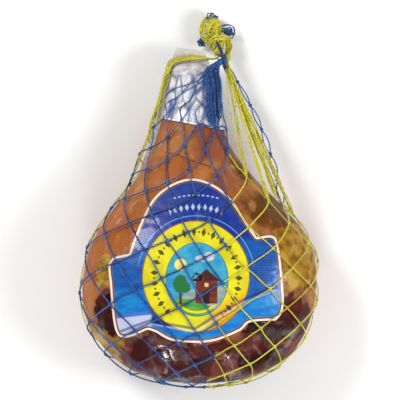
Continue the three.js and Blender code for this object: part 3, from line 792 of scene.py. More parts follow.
class Print(Nodes):
    """Print on the label, drawn by its place on the plan in millimetres."""

    def __init__(self, name):
        super().__init__(name)
        split = self.node("SeparateXYZ", {0: self.place})
        self.x = self.times(split.outputs[0], 1 / MM)
        self.y = self.times(split.outputs[1], 1 / MM)
        self.patch = self.noise(26, 3, 0.55)
        self.streak = self.noise(9, 4, 0.6, (0.35, 1.6, 1))

    def length(self, a, b):
        return self.math("SQRT", self.add(self.times(a, a), self.times(b, b)))

    def oval(self, centre_x, centre_y, reach_x, reach_y):
        """Distance outside an oval, negative inside it."""
        across = self.times(self.add(self.x, -centre_x), 1 / reach_x)
        along = self.times(self.add(self.y, -centre_y), 1 / reach_y)
        return self.times(self.add(self.length(across, along), -1.0), (reach_x + reach_y) / 2)

    def ovals(self, pair):
        return self.math("MINIMUM", self.oval(*pair[0]), self.oval(*pair[1]))

    def inside(self, distance, soft=0.5):
        return self.fade(distance, soft, -soft)

    def box(self, centre_x, centre_y, reach_x, reach_y):
        return self.times(self.beside(self.x, centre_x, reach_x), self.beside(self.y, centre_y, reach_y))

    def grain(self, a, b):
        return self.blend(self.streak, 0.4, 0.6, a, b)

    def repeat(self, value, rate, start=20.0):
        """How far a value lies from the middle of its step, for steps that repeat."""
        return self.away(self.math("FRACT", self.add(self.times(value, rate), start)), 0.5)


def label_field(n, fold):
    """The blue field: a royal dome, brighter wings and a light foot below the fold."""
    royal = n.blend(n.patch, 0.4, 0.66, (14, 46, 146), (38, 66, 144))
    wings = n.blend(n.streak, 0.35, 0.65, (8, 94, 178), (20, 76, 154))
    foot = n.blend(n.streak, 0.4, 0.62, (6, 110, 196), (24, 136, 202))
    colour = n.blend(n.add(n.y, n.times(n.patch, 20)), 46, 60, wings, royal)
    # Pale blotches over the blue: painted highlight
    colour = n.paint(colour, (n.noise(16, 4, 0.7, (1.4, 0.8, 1)), 0.6, 0.8, 0.55, (112, 140, 196)))
    colour = n.blend(n.add(fold, n.times(n.add(n.streak, -0.5), 8)), 1.0, -1.0, colour, foot)
    low_left = n.times(n.fade(n.x, -58, -66), n.fade(n.add(n.y, n.times(n.streak, 10)), -8, -16))
    return n.mix(low_left, colour, foot)


def small_print(n, colour):
    """Thin stripes on the wings, where small print would be."""
    lines = n.fade(n.math("SINE", n.times(n.y, 2 * math.pi / PRINT_PITCH)), 0.25, 0.6)
    stripes = n.times(lines, n.fade(n.noise(5, 2, 0.5, (1, 0.2, 1)), 0.42, 0.52))
    return n.layers(
        colour,
        (n.times(stripes, n.box(*LEFT_PRINT), 0.5), (20, 48, 120)),
        (n.times(stripes, n.box(*RIGHT_PRINT), 0.6), (14, 40, 120)),
    )


def label_corner(n, colour):
    """A violet rule over a pale patch in the lower left corner, and a dark strip of painted shade along the
    fold beside the ring.
    """
    slope = n.add(n.y, n.times(n.add(n.x, 100), -0.12))
    corner = n.fade(n.x, -58, -62)
    # A dark strip along the fold beside the ring: painted shade
    low = n.beside(n.add(n.y, n.times(n.x, 0.1)), -62, 4.5, 2.0)
    return n.layers(
        colour,
        (n.times(corner, n.fade(slope, -51.5, -53.5, 0, 0.85)), (208, 214, 236)),
        (n.times(corner, n.beside(slope, -50.6, 0.9)), (120, 84, 190)),
        (n.times(n.beside(n.x, -36, 24, 3), low, 0.9), (16, 34, 120)),
    )


def label_ring(n, colour):
    """The yellow ring with thin edge lines and a plain row of diamonds and dots."""
    halo = n.times(n.beside(n.oval(*HALO), 0, 0.6), n.fade(n.y, 8, 20), 0.7)
    yellow = n.blend(n.noise(20, 3, 0.5), 0.4, 0.65, (232, 224, 30), (212, 202, 26))
    shade = n.times(n.fade(n.add(n.y, n.times(n.x, -0.6)), -40, -66), n.fade(n.x, 4, 20), 0.85)
    yellow = n.mix(shade, yellow, (222, 150, 18))
    ring = n.oval(*RING)
    along = n.times(n.add(n.y, -BEAD_LINE[1]), 1 / BEAD_TURN[1])
    across = n.times(n.add(n.x, -BEAD_LINE[0]), 1 / BEAD_TURN[0])
    turn = n.math("ARCTAN2", along, across)
    sideways = n.times(n.repeat(turn, BEADS / (2 * math.pi), 20.5), 12.6)
    upward = n.away(n.oval(*BEAD_LINE), 0)
    diamond = n.inside(n.add(sideways, n.times(upward, 0.55), -3.0), 0.35)
    dot = n.inside(n.add(n.length(n.add(sideways, -6.3), upward), -1.3), 0.35)
    row = n.times(n.math("MAXIMUM", diamond, dot), n.fade(n.away(turn, -math.pi / 2), 0.62, 0.68), 0.92)
    return n.layers(
        colour,
        (halo, (120, 176, 232)),
        (n.inside(ring), yellow),
        (n.beside(ring, -0.2, 0.6), (168, 96, 24)),
        (row, (52, 42, 22)),
    )


def label_scene(n):
    """A plain country scene: sky, sun, cloud, hills, barn and tree."""
    cloud = n.inside(n.add(n.ovals(CLOUD), n.times(n.streak, 2)), 1.2)
    eaves = n.add(n.away(n.x, BARN[0]), n.times(n.add(n.y, 6), 1.15))
    roof = n.times(n.fade(eaves, 17.4, 16.6), n.fade(n.y, -6.4, -5.8))
    crown = n.add(n.ovals(TREE_CROWN), n.times(n.add(n.streak, -0.5), 6))
    return n.layers(
        n.blend(n.noise(12, 4, 0.6), 0.42, 0.62, (70, 168, 200), (40, 146, 196)),
        (n.inside(n.oval(*SUN)), (248, 232, 120)),
        (n.times(cloud, 0.8), (226, 222, 218)),
        (n.inside(n.oval(*FAR_HILL)), n.grain((168, 170, 160), (120, 160, 150))),
        (n.inside(n.oval(*NEAR_HILL)), n.grain((58, 150, 62), (98, 172, 74))),
        (n.box(*BARN), n.grain((104, 42, 34), (126, 58, 44))),
        (roof, (74, 30, 28)),
        (n.box(*BARN_DOOR), (48, 20, 20)),
        (n.box(*BARN_WINDOW), (226, 190, 120)),
        (n.box(*TREE_TRUNK), (92, 50, 34)),
        (n.inside(crown, 0.8), (40, 112, 62)),
    )


def label_disc(n, colour):
    """The disc with its scene, a thin edge and a yellow band at its foot."""
    disc = n.oval(*DISC)
    return n.layers(
        colour,
        (n.inside(disc), label_scene(n)),
        (n.beside(disc, 0.3, 0.5), (30, 116, 140)),
        (n.times(n.beside(disc, -4.2, 1.4), n.fade(n.y, -34, -38)), (240, 214, 30)),
    )


def dome_rows(n, colour):
    """A row of diamonds and a row of dashes on the dome, in place of a title."""
    across = n.add(n.x, -RING[0])
    along = n.add(n.y, -RING[1])
    reach = n.length(across, along)
    swing = n.math("ARCTAN2", across, along)
    aside = n.away(swing, 0)
    sideways = n.times(n.repeat(swing, 11.5), 7.4)
    leaf = n.inside(n.add(sideways, n.times(n.away(reach, DOME_ROW), 0.55), -2.4), 0.4)
    dash = n.times(n.fade(n.repeat(swing, 17.0), 0.3, 0.26), n.beside(reach, DASH_ROW, 0.9))
    return n.layers(
        colour,
        (n.times(leaf, n.fade(aside, 0.4, 0.385), 0.8), (206, 214, 240)),
        (n.times(dash, n.fade(aside, 0.3, 0.29), 0.75), (196, 206, 238)),
    )


def label_edges(n, colour, fold):
    """The fold's painted shade and painted highlight, an ochre line, the gap beside it and the pale outline.
    """
    edge = n.attribute("edge")
    gap = n.blend(n.patch, 0.4, 0.6, (140, 96, 60), (96, 56, 40))
    return n.paint(
        colour,
        # A dark band along the fold and a light band below it: painted shade and painted highlight
        (n.away(fold, 1.2), 2.6, 0.4, 0.7, (22, 34, 92)),
        (n.away(fold, -2.6), 1.8, 0.4, 0.4, (196, 220, 240)),
        (edge, 4.9, 4.3, 1, (150, 104, 50)),
        (edge, 4.3, 3.9, 1, gap),
        (edge, 2.8, 2.3, 1, (248, 232, 228)),
    )


def label_material():
    n = Print("printed_label")
    fold = n.attribute("fold")
    colour = label_field(n, fold)
    for layer in (small_print, label_corner, label_ring, label_disc, dome_rows):
        colour = layer(n, colour)
    colour = label_edges(n, colour, fold)
    height = n.add(n.times(n.noise(10, 4, 0.6, (0.7, 1.3, 1), 0.5), 0.8), n.times(n.noise(3, 2, 0.5), 0.2))
    gloss = {"Coat_Weight": 0.22, "Coat_Roughness": 0.06, "Specular_IOR_Level": 0.25}
    return n.finish(n.shader(colour, 0.3, Normal=n.bump(height, 0.4, 1.2), **gloss))


# The ham and its film
def film_creases(points):
    """How far the film's surface lies above or below the plain form, and how creased it is. The crease value,
    with the glint lines added, carries the film's painted highlight.
    """
    stretched = points * np.array([1.0, 0.7, 1.0])
    y = points[..., 1]
    broad = noise(points, 48, 1) * 0.7 + noise(points, 26, 2) * 0.45
    ridge = 1 - np.abs(noise(stretched, 38, 3) + 0.3 * noise(points, 14, 4))
    second = 1 - np.abs(noise(stretched, 24, 5) + 0.25 * noise(points, 9, 6))
    calm = 0.35 + 0.65 * smoothstep(-y, -20, 70)
    where = smoothstep(noise(points, 40, 7), -0.15, 0.5)
    sharp = np.clip(ridge, 0, 1) ** 12 * 0.8 * where + np.clip(second, 0, 1) ** 14 * 0.6 * (1 - where)
    facets = np.abs(noise(points, 30, 8)) * smoothstep(-y, 30, 90)
    height = -0.6 + 0.85 * broad * calm + sharp * calm - 1.4 * facets
    creased = sharp * calm
    for line in FILM_GLINTS:
        near = line_distance(points[..., :2], line)
        creased = creased + 0.9 * np.exp(-(near / 1.3) ** 2) * smoothstep(points[..., 2], 40, 60)
    return np.clip(height, -2.4, 0.4), np.clip(creased, 0, 1)


def blobs(points, places):
    """A field over the plan that is positive inside soft ovals and negative outside them."""
    field = np.full(points.shape[:-1], -3.0)
    for x, y, reach_x, reach_y, tilt in places:
        turn = math.radians(tilt)
        across = (points[..., 0] - x) * math.cos(turn) + (points[..., 1] - y) * math.sin(turn)
        along = (points[..., 1] - y) * math.cos(turn) - (points[..., 0] - x) * math.sin(turn)
        field = np.maximum(field, 1 - np.hypot(across / reach_x, along / reach_y))
    return field


def meat_zones(points, level):
    """Each zone's field, the end of the shank, and the crease in the skin, along which shade is painted."""
    above = points[..., 2] - level
    front = smoothstep(above, -14, 14)
    zones = {
        name: front * blobs(points, sides["shown"]) + (1 - front) * blobs(points, sides["hidden"])
        for name, sides in MEAT_ZONES.items()
    }
    zones["cap"] = smoothstep(points[..., 1], 243, 247)
    fold = line_distance(points[..., :2], SKIN_CREASE)
    zones["crease"] = np.exp(-(fold / 0.9) ** 2) * smoothstep(above, 0, 20)
    return zones


def even_places(count):
    """Places in the list of stations with even steps along the ham's skin."""
    rings = surface_of(section_at(DENSE_PLACES[:, None]), np.arange(0, 360, 30))
    steps = np.linalg.norm(np.diff(rings, axis=0), axis=-1).mean(axis=1)
    length = np.concatenate([[0], np.cumsum(steps)])
    return np.interp(np.linspace(0, length[-1], count), length, DENSE_PLACES)


def ham_tips():
    """The points that close the ham at the shank end and at the butt."""
    ends = section_at(np.array([0, len(STATIONS) - 1]))
    y = ends["along"] - ends["lean"] * (ends["level"] - LEAN_PIVOT)
    return np.stack([ends["centre"], y, ends["level"]], -1)


def ham_faces():
    """Faces of the ham's grid, with a fan of triangles to the tip at each end."""
    count = FILM_ROWS * FILM_SIDES
    last = count - FILM_SIDES
    faces = grid_faces(FILM_ROWS, FILM_SIDES, True)
    for side in range(FILM_SIDES):
        following = (side + 1) % FILM_SIDES
        faces.append([count, side, following])
        faces.append([count + 1, last + following, last + side])
    return faces


def make_ham():
    section = section_at(even_places(FILM_ROWS + 2)[1:-1, None])
    plain = surface_of(section, np.arange(FILM_SIDES) * 360 / FILM_SIDES)
    along = np.gradient(plain, axis=0)
    across = np.roll(plain, -1, axis=1) - np.roll(plain, 1, axis=1)
    out = unit(np.cross(along, across))
    if out[FILM_ROWS // 2, FILM_SIDES // 4, 2] < 0:
        out = -out
    height, creased = film_creases(plain)
    height = np.where(plain[..., 2] < 0.5, -0.05, height)
    film = plain + out * height[..., None]
    film[..., 2] = np.maximum(film[..., 2], FILM_FLOOR)
    sink = FILM_TO_MEAT + 0.5 * (1 + noise(plain, 13, 9)) * 0.5
    fold = line_distance(plain[..., :2], SKIN_CREASE)
    dent = 1.1 * np.exp(-(fold / 1.6) ** 2) * (plain[..., 2] > 60)
    meat = film - out * (sink + dent)[..., None]
    meat[..., 2] = np.maximum(meat[..., 2], MEAT_FLOOR)
    loose = 0.15 + 0.85 * smoothstep(-plain[..., 1], 40, 75)
    zones = meat_zones(plain, section["level"])
    zones = {name: np.append(field, [-1, -1]) for name, field in zones.items()}
    creases = {"crease": np.append(creased, [0, 0]), "loose": np.append(loose, [0, 0])}
    for name, points, look, values in (
        ("meat", meat, meat_material(), zones),
        ("film", film, film_material(), creases),
    ):
        make_object(name, joined(points, ham_tips()), ham_faces(), "ham_in_film", look, values)


def make_seam():
    """The film's flat side seam and sealed end: a thin crinkled strip beside the shank."""
    left, right = (smooth_line(line, 1.0) for line in (SEAM_LEFT, SEAM_RIGHT))
    left, right = (line_at(line, np.linspace(0, len(line) - 1, SEAM_ROWS))[:, None] for line in (left, right))
    share = np.linspace(0, 1, SEAM_COLUMNS)[None, :, None]
    flat = left * (1 - share) + right * share
    middle = np.concatenate([flat, np.full(flat.shape[:-1] + (1,), SEAM_LEVEL)], -1)
    wave = noise(middle, 22, 21) * 1.6 + noise(middle * np.array([0.5, 1, 1]), 7, 22) * 0.5
    ribs = 0.25 * np.sin(middle[..., 1] * 2.2) * smoothstep(middle[..., 1], 262, 270)
    middle[..., 2] += wave + ribs
    half = np.array([0, 0, SEAM_THICK / 2])
    points = joined(middle + half, middle - half)
    faces = sheet_faces(SEAM_ROWS, SEAM_COLUMNS)
    make_object("film_seam", points, faces, "ham_in_film", seam_material(), {})


# The label and the wrap
def label_line():
    """The label's outline as a closed line of points."""
    line = [smooth_line(DOME_POINTS, 1.5)]
    before = DOME_POINTS[-1]
    for stretch in (RIGHT_WING, FOOT_POINTS, LEFT_WING):
        line.append(smooth_line([before] + stretch, 1.5))
        before = stretch[-1]
    line.append(np.array(DOME_POINTS[:1], float))
    return np.concatenate(line)


def label_plan(outline):
    """Places on the plan in rings from the label's middle to its outline."""
    ways = outline - LABEL_CENTRE
    angles = np.arctan2(ways[:, 1], ways[:, 0])
    order = np.argsort(angles)
    reaches = np.hypot(ways[:, 0], ways[:, 1])[order]
    angle = np.linspace(-math.pi, math.pi, LABEL_SIDES, endpoint=False)
    reach = np.interp(angle, angles[order], reaches, period=2 * math.pi)
    share = np.linspace(0, 1, LABEL_RINGS + 1)[1:] ** 0.8
    rings = (share[:, None] * reach)[..., None] * np.stack([np.cos(angle), np.sin(angle)], -1)
    return LABEL_CENTRE + np.concatenate([[[0, 0]], rings.reshape(-1, 2)])


def label_faces(count):
    upper = [[0, 1 + side, 1 + (side + 1) % LABEL_SIDES] for side in range(LABEL_SIDES)]
    upper += [face[::-1] for face in grid_faces(LABEL_RINGS, LABEL_SIDES, True, 1)]
    lower = [[index + count for index in reversed(face)] for face in upper]
    rim = [count - LABEL_SIDES + side for side in range(LABEL_SIDES)]
    return upper + lower + rim_faces(rim, count)


def make_label():
    outline = label_line()
    plan = label_plan(outline)
    x, y = plan.T
    base = surface_above(x, y)
    out = normal_above(x, y)
    edge = line_distance(plan, outline)
    edge[-LABEL_SIDES:] = 0
    fold_x, fold_y = np.array(FOLD_LINE, float).T
    fold = line_distance(plan, FOLD_LINE) * np.where(y > np.interp(x, fold_x, fold_y), 1, -1)
    height, _ = film_creases(base)
    ripple = 0.35 * noise(base * np.array([0.6, 1.4, 1]), 10, 31) + 0.2 * noise(base, 5, 32)
    crease = 0.9 * np.exp(-((fold / 2.6) ** 2)) - 0.5 * np.exp(-(((fold - 4) / 2.6) ** 2))
    film = np.clip(0.45 * (height + 0.9), -0.4, 0.3)
    above = LABEL_GAP + LABEL_THICK
    top = above + film + (ripple * 0.6 + crease) * smoothstep(edge, 0, 6)
    upper = base + out * np.clip(top, LABEL_GAP + 0.2, above + 0.75)[:, None]
    points = joined(upper, base + out * LABEL_GAP)
    values = {"edge": np.tile(edge, 2), "fold": np.tile(fold, 2)}
    make_object("label_print", points, label_faces(len(base)), "label", label_material(), values)


def make_wrap():
    turn = WRAP_OPENING + (360 - 2 * WRAP_OPENING) * np.linspace(0, 1, WRAP_SIDES)[None, :]
    start = WRAP_TO + WRAP_SLANT * np.cos(np.radians(turn))
    up = (WRAP_FROM - start) * np.linspace(0, 1, WRAP_ROWS)[:, None]
    degrees = np.broadcast_to(turn, up.shape)
    base = surface_at(start + up, degrees)
    out = normal_at(start + up, degrees)
    crinkle = 1 - np.abs(noise(base * np.array([1, 0.6, 1]), 13, 41) + 0.4 * noise(base, 6, 42))
    height = WRAP_GAP + 0.35 + 0.55 * np.clip(crinkle, 0, 1) ** 4 + 0.2 * noise(base, 9, 43)
    points = joined(base + out * height[..., None], base + out * (WRAP_GAP - 0.1))
    faces = sheet_faces(WRAP_ROWS, WRAP_SIDES)
    values = {"turn": np.tile(degrees.ravel(), 2), "up": np.tile(up.ravel(), 2)}
    make_object("wrap_print", points, faces, "shank_wrap", wrap_material(), values)


# The net
def column_angle(column):
    angles = np.array(COLUMN_ANGLES + [COLUMN_ANGLES[0] + 360], float)
    turns = np.floor(np.asarray(column, float) / COLUMNS)
    return np.interp(column - turns * COLUMNS, np.arange(COLUMNS + 1), angles) + 360 * turns


def net_place(row, column):
    """Where a row and column of the net lie: along the ham and round it."""
    values = spline_rows(ROWS, (np.asarray(row, float) - ROWS[0, 0]) / 2)
    _, along, slant, dip, twist = np.moveaxis(values, -1, 0)
    degrees = column_angle(column) + twist
    angle = np.radians(degrees)
    return np.minimum(along + slant * np.cos(angle) - dip * np.sin(angle), WRAP_FROM), degrees


def over_seam(along, degrees):
    """How far the film's seam lifts a cord."""
    turn = np.abs((degrees + 180) % 360 - 180)
    return SEAM_PUSH * smoothstep(along, 100, 150) * np.exp(-((turn / SEAM_ANGLE) ** 2))


def on_wrap(along):
    """How far the wrap lifts a cord."""
    return np.where(along > WRAP_TO - WRAP_SLANT - 4, WRAP_THICK + WRAP_GAP, 0)


def net_frame(row, column):
    """A point of the net and the direction out of the ham there."""
    row, column = np.broadcast_arrays(np.asarray(row, float), np.asarray(column, float))
    along, degrees = net_place(row, column)
    out = normal_at(along, degrees)
    on_top = smoothstep(np.sin(np.radians(degrees)), 0.1, 0.3)
    labelled = np.where(along < LABEL_TOP, on_top * (LABEL_GAP + LABEL_THICK), 0)
    lift = CORD_LIFT + on_wrap(along) + labelled + over_seam(along, degrees)
    point = surface_at(along, degrees) + out * lift[..., None]
    point[..., 2] = np.maximum(point[..., 2], NET_DEPTH * np.maximum(0, -out[..., 2]))
    return point, out


def on_net(row, column, lift):
    point, out = net_frame(row, column)
    return point + out * lift


def above_wrap(x, y, lift):
    """A point over the wrap, by its place on the plan."""
    return surface_above(x, y) + normal_above(x, y) * (CORD_OVER_WRAP + lift)


def any_phase():
    """A random start for the twist of a cord."""
    return random.uniform(0, 6)


def cord_between(row, column, row_step, column_step, width):
    """The middle line of one cord from a knot to the next."""
    share = np.linspace(0, 1, 30)
    point, out = net_frame(row + row_step * share, column + column_step * share)
    side = np.cross(unit(np.gradient(point, axis=0)), out)
    sway = random.normal(0, 0.5) * np.sin(math.pi * share)
    sway += random.normal(0, 0.3) * np.sin(2 * math.pi * share)
    return point + out * width * 0.5 + side * sway[:, None]


def tie_way(column):
    """The direction from the tie's middle to the cord of a column."""
    spread = np.radians(column_angle(column) + ROWS[0, 4])
    return np.array([-np.cos(spread), 0, np.sin(spread)])


def tie_ends(column):
    """Where a cord meets the tie, and where it ends inside it."""
    way = tie_way(column)
    return [TIE + way * TIE_RADIUS, TIE + way * 3 + np.array([0, 6, 0])]


def collar_points(column, width):
    """Where a gathered cord runs round the end of the shank and on to the tie."""
    way = tie_way(column)
    ends = tie_ends(column)
    degrees = net_place(-5.5, column)[1]
    lift = CORD_OVER_WRAP + width * 0.5
    places = [surface_at(along, degrees) + normal_at(along, degrees) * lift for along in COLLAR]
    crossing = places[-1] + (ends[0] - places[-1]) * 0.45
    crossing[1] = OVER_SEAM["y"]
    if way[2] > 0:
        crossing[2] = max(crossing[2], OVER_SEAM["above"])
    else:
        crossing[2] = min(crossing[2], OVER_SEAM["below"])
    return places + [crossing + way * width * 0.5] + ends


def into_hank(start, column, width, sway):
    """Points of a front cord from its last knot into the top of the hank."""
    target = HANK_TOP - np.array([4.0, 9.0]) * random.uniform(0, 1) * np.clip(column / 3, 0.2, 1)
    ahead = target - start[:2]
    across = np.array([-ahead[1], ahead[0]]) / np.hypot(*ahead)
    places = []
    for share in (0.25, 0.5, 0.75, 0.97):
        bend = math.copysign(3.4, sway) * math.sin(2 * math.pi * share)
        x, y = start[:2] + ahead * share - across * bend
        places.append(above_wrap(x, y, width * 0.5))
    return places + tie_ends(HANK_COLUMN)


def gathered(strands, column, top_row, width, tone, sway, turn=0.0):
    """A cord from a top knot to the tie. Sway moves it sideways at the odd rows, in columns."""
    in_front = column < FIRST_BACK_COLUMN
    places = []
    for row in np.arange(top_row, LAST_FRONT_ROW if in_front else LAST_BACK_ROW, -0.5):
        swing = sway * math.sin(math.pi * (row - top_row) / 2) ** 2 * (1 if row > -4.5 else 0.5)
        lane = column + turn * min(1, (top_row - row) / 1.5) + swing
        along, degrees = net_place(row, lane)
        drop = over_seam(along, degrees) * smoothstep(along, 190, 262)
        places.append(on_net(row, lane, width * 0.5 - drop))
    if in_front:
        places += into_hank(places[-1], column, width, sway)
    else:
        collar = collar_points(column + turn * 0.6, width)
        spread = random.normal(0, 1.5, 3) * np.array([0.4, 1, 0.3])
        collar[1:4] = [place + spread for place in collar[1:4]]
        places += collar
    strands.twine(places, 1.7, width, tone, any_phase())


def crossing_pair(strands, start, end, width, bow, crossings, swell):
    """Two taut cords from one place to another, knotted where they cross."""
    ahead = unit(end - start)
    side = unit(np.cross(ahead, np.array([0, 0, 1.0])))
    other = np.cross(side, ahead)
    share = np.linspace(0, 1, 8 * crossings + 1)
    tilt = random.uniform(-0.5, 0.5)
    way = math.cos(tilt) * side + math.sin(tilt) * other
    sag = random.uniform(-1.5, 1.5) * np.sin(math.pi * share)
    outward = swell * np.sin(math.pi * share)
    middle = start + (end - start) * share[:, None] + sag[:, None] * other + outward[:, None] * side
    tone = random.uniform(0, 0.8)
    for sign in (1, -1):
        swing = sign * bow * np.sin(math.pi * crossings * share) * (0.25 + 0.75 * (1 - share))
        strands.twine(middle + swing[:, None] * way, 1.8, width, tone, any_phase())
    for crossing in range(1, crossings):
        place = crossing * (len(share) - 1) / crossings
        centre = line_at(middle, place) + random.uniform(-0.3, 0.3) * side
        strands.knot(centre, ahead, side, other, width * 2.1, tone)


def free_strands(strands, sector):
    """Taut cords from the shoulder to the tie, straight through the air, in a loose fan."""
    width = CORD_WIDTHS[sector["colour"]]
    for row, column, pairs, singles, bow, swell in FAN[sector["colour"]]:
        start = on_net(row, column, width * 0.5)
        end = tie_ends(column)[0]
        for _ in range(pairs):
            stop = end + random.normal(0, 1.2, 3)
            crossing_pair(strands, start, stop, width * 0.8, bow, random.integers(4, 7), swell)
        for _ in range(singles):
            share = np.linspace(0, 1, 9)[:, None]
            aside = random.normal(0, 2.2, 3) * np.sin(math.pi * share) + random.normal(0, 1.4, 3) * share
            path = start + (end - start) * share + aside
            strands.twine(path, 2.1, width * 0.8, random.uniform(0, 0.7))


def hank_lane(lane, layer, width, stop):
    """Points down one lane of the hank, from the end of the shank to a stop along it."""
    places = []
    for y, middle, reach in HANK_LINE:
        x = middle + reach * lane + random.uniform(-0.8, 0.8)
        places.append(above_wrap(x, max(y, stop), width * 0.5 + layer))
        if y <= stop:
            break
    return places


def shank_hank(strands, width):
    """The gathered blue net that lies in a thick hank on the right side of the shank."""
    tie_end = tie_ends(HANK_COLUMN)[0]
    for _ in range(HANK_LOOPS):
        lane = random.uniform(-1, 0.8)
        layer = random.uniform(0, HANK_DEPTH) * (1 - lane * lane * 0.6)
        stop = random.uniform(*HANK_STOPS)
        down = hank_lane(lane, layer, width, stop)
        back = hank_lane(lane + random.uniform(0.15, 0.35), layer, width, stop)
        first, last = (tie_end + random.normal(0, 1.6, 3) for _ in range(2))
        tone = random.choice(HANK_TONES)
        places = [first] + down + back[::-1] + [last]
        strands.twine(places, CORD_SPACING, width * 0.85, tone, any_phase())
    for lane, *knots in HANK_ROUTES:
        places = [tie_end + random.normal(0, 1.6, 3)]
        places += hank_lane(lane, 0.4, width, HANK_LINE[-1][0])
        places += [on_net(row, column, width * 0.5) for row, column in knots]
        strands.twine(places, CORD_SPACING, width * 0.86, random.uniform(0, 1), any_phase())


def edge_cords(strands, width):
    """Yellow cords of the back sector that show along the left side, outside the blue net."""
    for lane, until in EDGE_CORDS:
        places = []
        for along in np.arange(246, until, -12.0):
            degrees = lane + 3.0 * math.sin(along / 21 + lane)
            lift = CORD_LIFT + width * 0.5 + over_seam(along, degrees) * (1 - smoothstep(along, 190, 262))
            places.append(surface_at(along, degrees) + normal_at(along, degrees) * (lift + on_wrap(along)))
        collar = collar_points(EDGE_COLUMN + 0.5 + random.uniform(-0.3, 0.3), width)
        strands.twine(collar[:-1][::-1] + places, CORD_SPACING, width * 0.8, random.uniform(0, 0.6))


def owns(sector, column):
    """Whether a column belongs to a sector. The border columns belong to the blue sectors."""
    if sector["colour"] == BORDER_COLOUR:
        return sector["from"] <= column <= sector["to"]
    return sector["from"] < column < sector["to"]


def sector_columns(sector, row):
    half = 0 if row % 2 == 0 else 0.5
    columns = np.arange(sector["from"] + half, sector["to"] + 0.01, 1)
    return [column for column in columns if owns(sector, column)]


def knot_and_cords(strands, sector, row, column):
    """A knot of the net and the cords from it that its sector holds."""
    width = CORD_WIDTHS[sector["colour"]]
    tone = random.uniform(0, 1)
    point, out = net_frame(row, column)
    ahead = unit(net_frame(row + KNOT_STEP, column)[0] - net_frame(row - KNOT_STEP, column)[0])
    across = unit(net_frame(row, column + KNOT_STEP)[0] - net_frame(row, column - KNOT_STEP)[0])
    strands.knot(point + out * width * 0.6, ahead, across, out, width * 1.85, tone)
    for row_step, column_step in ((1, 0.5), (1, -0.5), (-1, 0.5), (-1, -0.5)):
        next_column = column + column_step
        in_net = sector["top_row"] <= row + row_step <= END_ROW
        own = row_step > 0 and owns(sector, next_column)
        on_border = sector["colour"] != BORDER_COLOUR and next_column in (sector["from"], sector["to"])
        if in_net and (own or on_border):
            line = cord_between(row, column, row_step, column_step, width)
            strands.twine(line, BAR_SPACING, width * BAR_WIDTH, random.uniform(0, 1), any_phase())


def gather_sector(strands, sector):
    """The part of a sector above its top row."""
    width = CORD_WIDTHS[sector["colour"]]
    for column in sector_columns(sector, sector["top_row"]):
        if FREE_COLUMNS[0] <= column % COLUMNS <= FREE_COLUMNS[1]:
            continue
        for sway in (GATHER_SWAY, -GATHER_SWAY):
            gathered(strands, column, sector["top_row"], width * 0.66, random.uniform(0, 0.8), sway)
    if sector["name"] == "net_front_blue":
        shank_hank(strands, width)
    elif sector["name"] == "net_back_yellow":
        edge_cords(strands, width)
        for turn in EDGE_TURNS:
            gathered(strands, EDGE_COLUMN, -2, width * 0.8, random.uniform(0, 1), 0.2, turn)
    else:
        free_strands(strands, sector)
    if sector["name"] == "net_front_yellow":
        for row, column, row_step, column_step in SHOULDER_CORDS:
            line = cord_between(row, column, row_step, column_step, width)
            strands.twine(line, BAR_SPACING, width * BAR_WIDTH, random.uniform(0, 1))


def make_net():
    for sector in SECTORS:
        strands = Strands(sector["colour"])
        width = CORD_WIDTHS[sector["colour"]]
        for row in range(sector["top_row"], END_ROW + 1):
            for column in sector_columns(sector, row):
                knot_and_cords(strands, sector, row, column)
        gather_sector(strands, sector)
        # A drawn cord through the last row of knots, under the butt
        butt = np.linspace(sector["from"], sector["to"], 40)
        strands.twine(on_net(END_ROW, butt, width * 0.5), 1.3, width, 0.5)
        strands.build(sector["name"] + "_twine", sector["name"])


# The tie
def bundle(strands, line, reach, count, width, tones):
    """Many cords that run side by side along a line, with one slow turn round it."""
    path = smooth_line(line, 1.8)
    side_a, side_b = cross_ways(path)
    share = np.linspace(0, 1, len(path))
    for _ in range(count):
        away = (reach - width * 0.5) * math.sqrt(random.uniform(0.05, 1))
        phase = random.uniform(0, 2 * math.pi)
        angle = phase + 2 * math.pi * share + 0.5 * np.sin(7 * share + phase)
        lift = away * (0.9 + 0.1 * np.sin(11 * share + 3 * phase))
        lane = path + lift[:, None] * around(angle, side_a, side_b)
        strands.twine(lane, 1.8, width, random.choice(tones), phase)


def coils(strands):
    """Cords wound round the neck of the tie."""
    neck = smooth_line(NECK_PATH, 1.0)
    side_a, side_b = cross_ways(neck)
    turn = np.linspace(0, COIL_TURNS * 2 * math.pi, 66)
    for start in COIL_STARTS:
        place = (start + 0.05 * turn / turn[-1]) * (len(neck) - 1)
        middle, a, b = (line_at(line, place) for line in (neck, side_a, side_b))
        coil = middle + COIL_REACH * around(turn, a, b)
        strands.twine(coil[::3], 1.3, 2.3, 0.3)


def bulb(yellow, blue):
    """The bunched loops at the end, wound over each other on a round form."""
    for index in range(BULB_LOOPS):
        axis = unit(random.normal(0, 1, 3))
        first = unit(np.cross(axis, random.normal(0, 1, 3)))
        t = np.linspace(0, 2 * math.pi * random.uniform(0.6, 1.0), 13)
        ripple = 0.95 + 0.08 * np.sin(4 * t + random.uniform(0, 6)) - 0.06 * random.uniform(0, 1)
        ring = around(t, first, np.cross(axis, first)) + 0.25 * axis * np.sin(2 * t)[:, None]
        path = BULB_CENTRE + unit(ring) * ripple[:, None] * (BULB_REACH - 1)
        strands = blue if index % BLUE_LOOP_EVERY == 0 else yellow
        strands.twine(path, 1.8, 2.2, random.choice([0.0, 0.2, 0.7]))


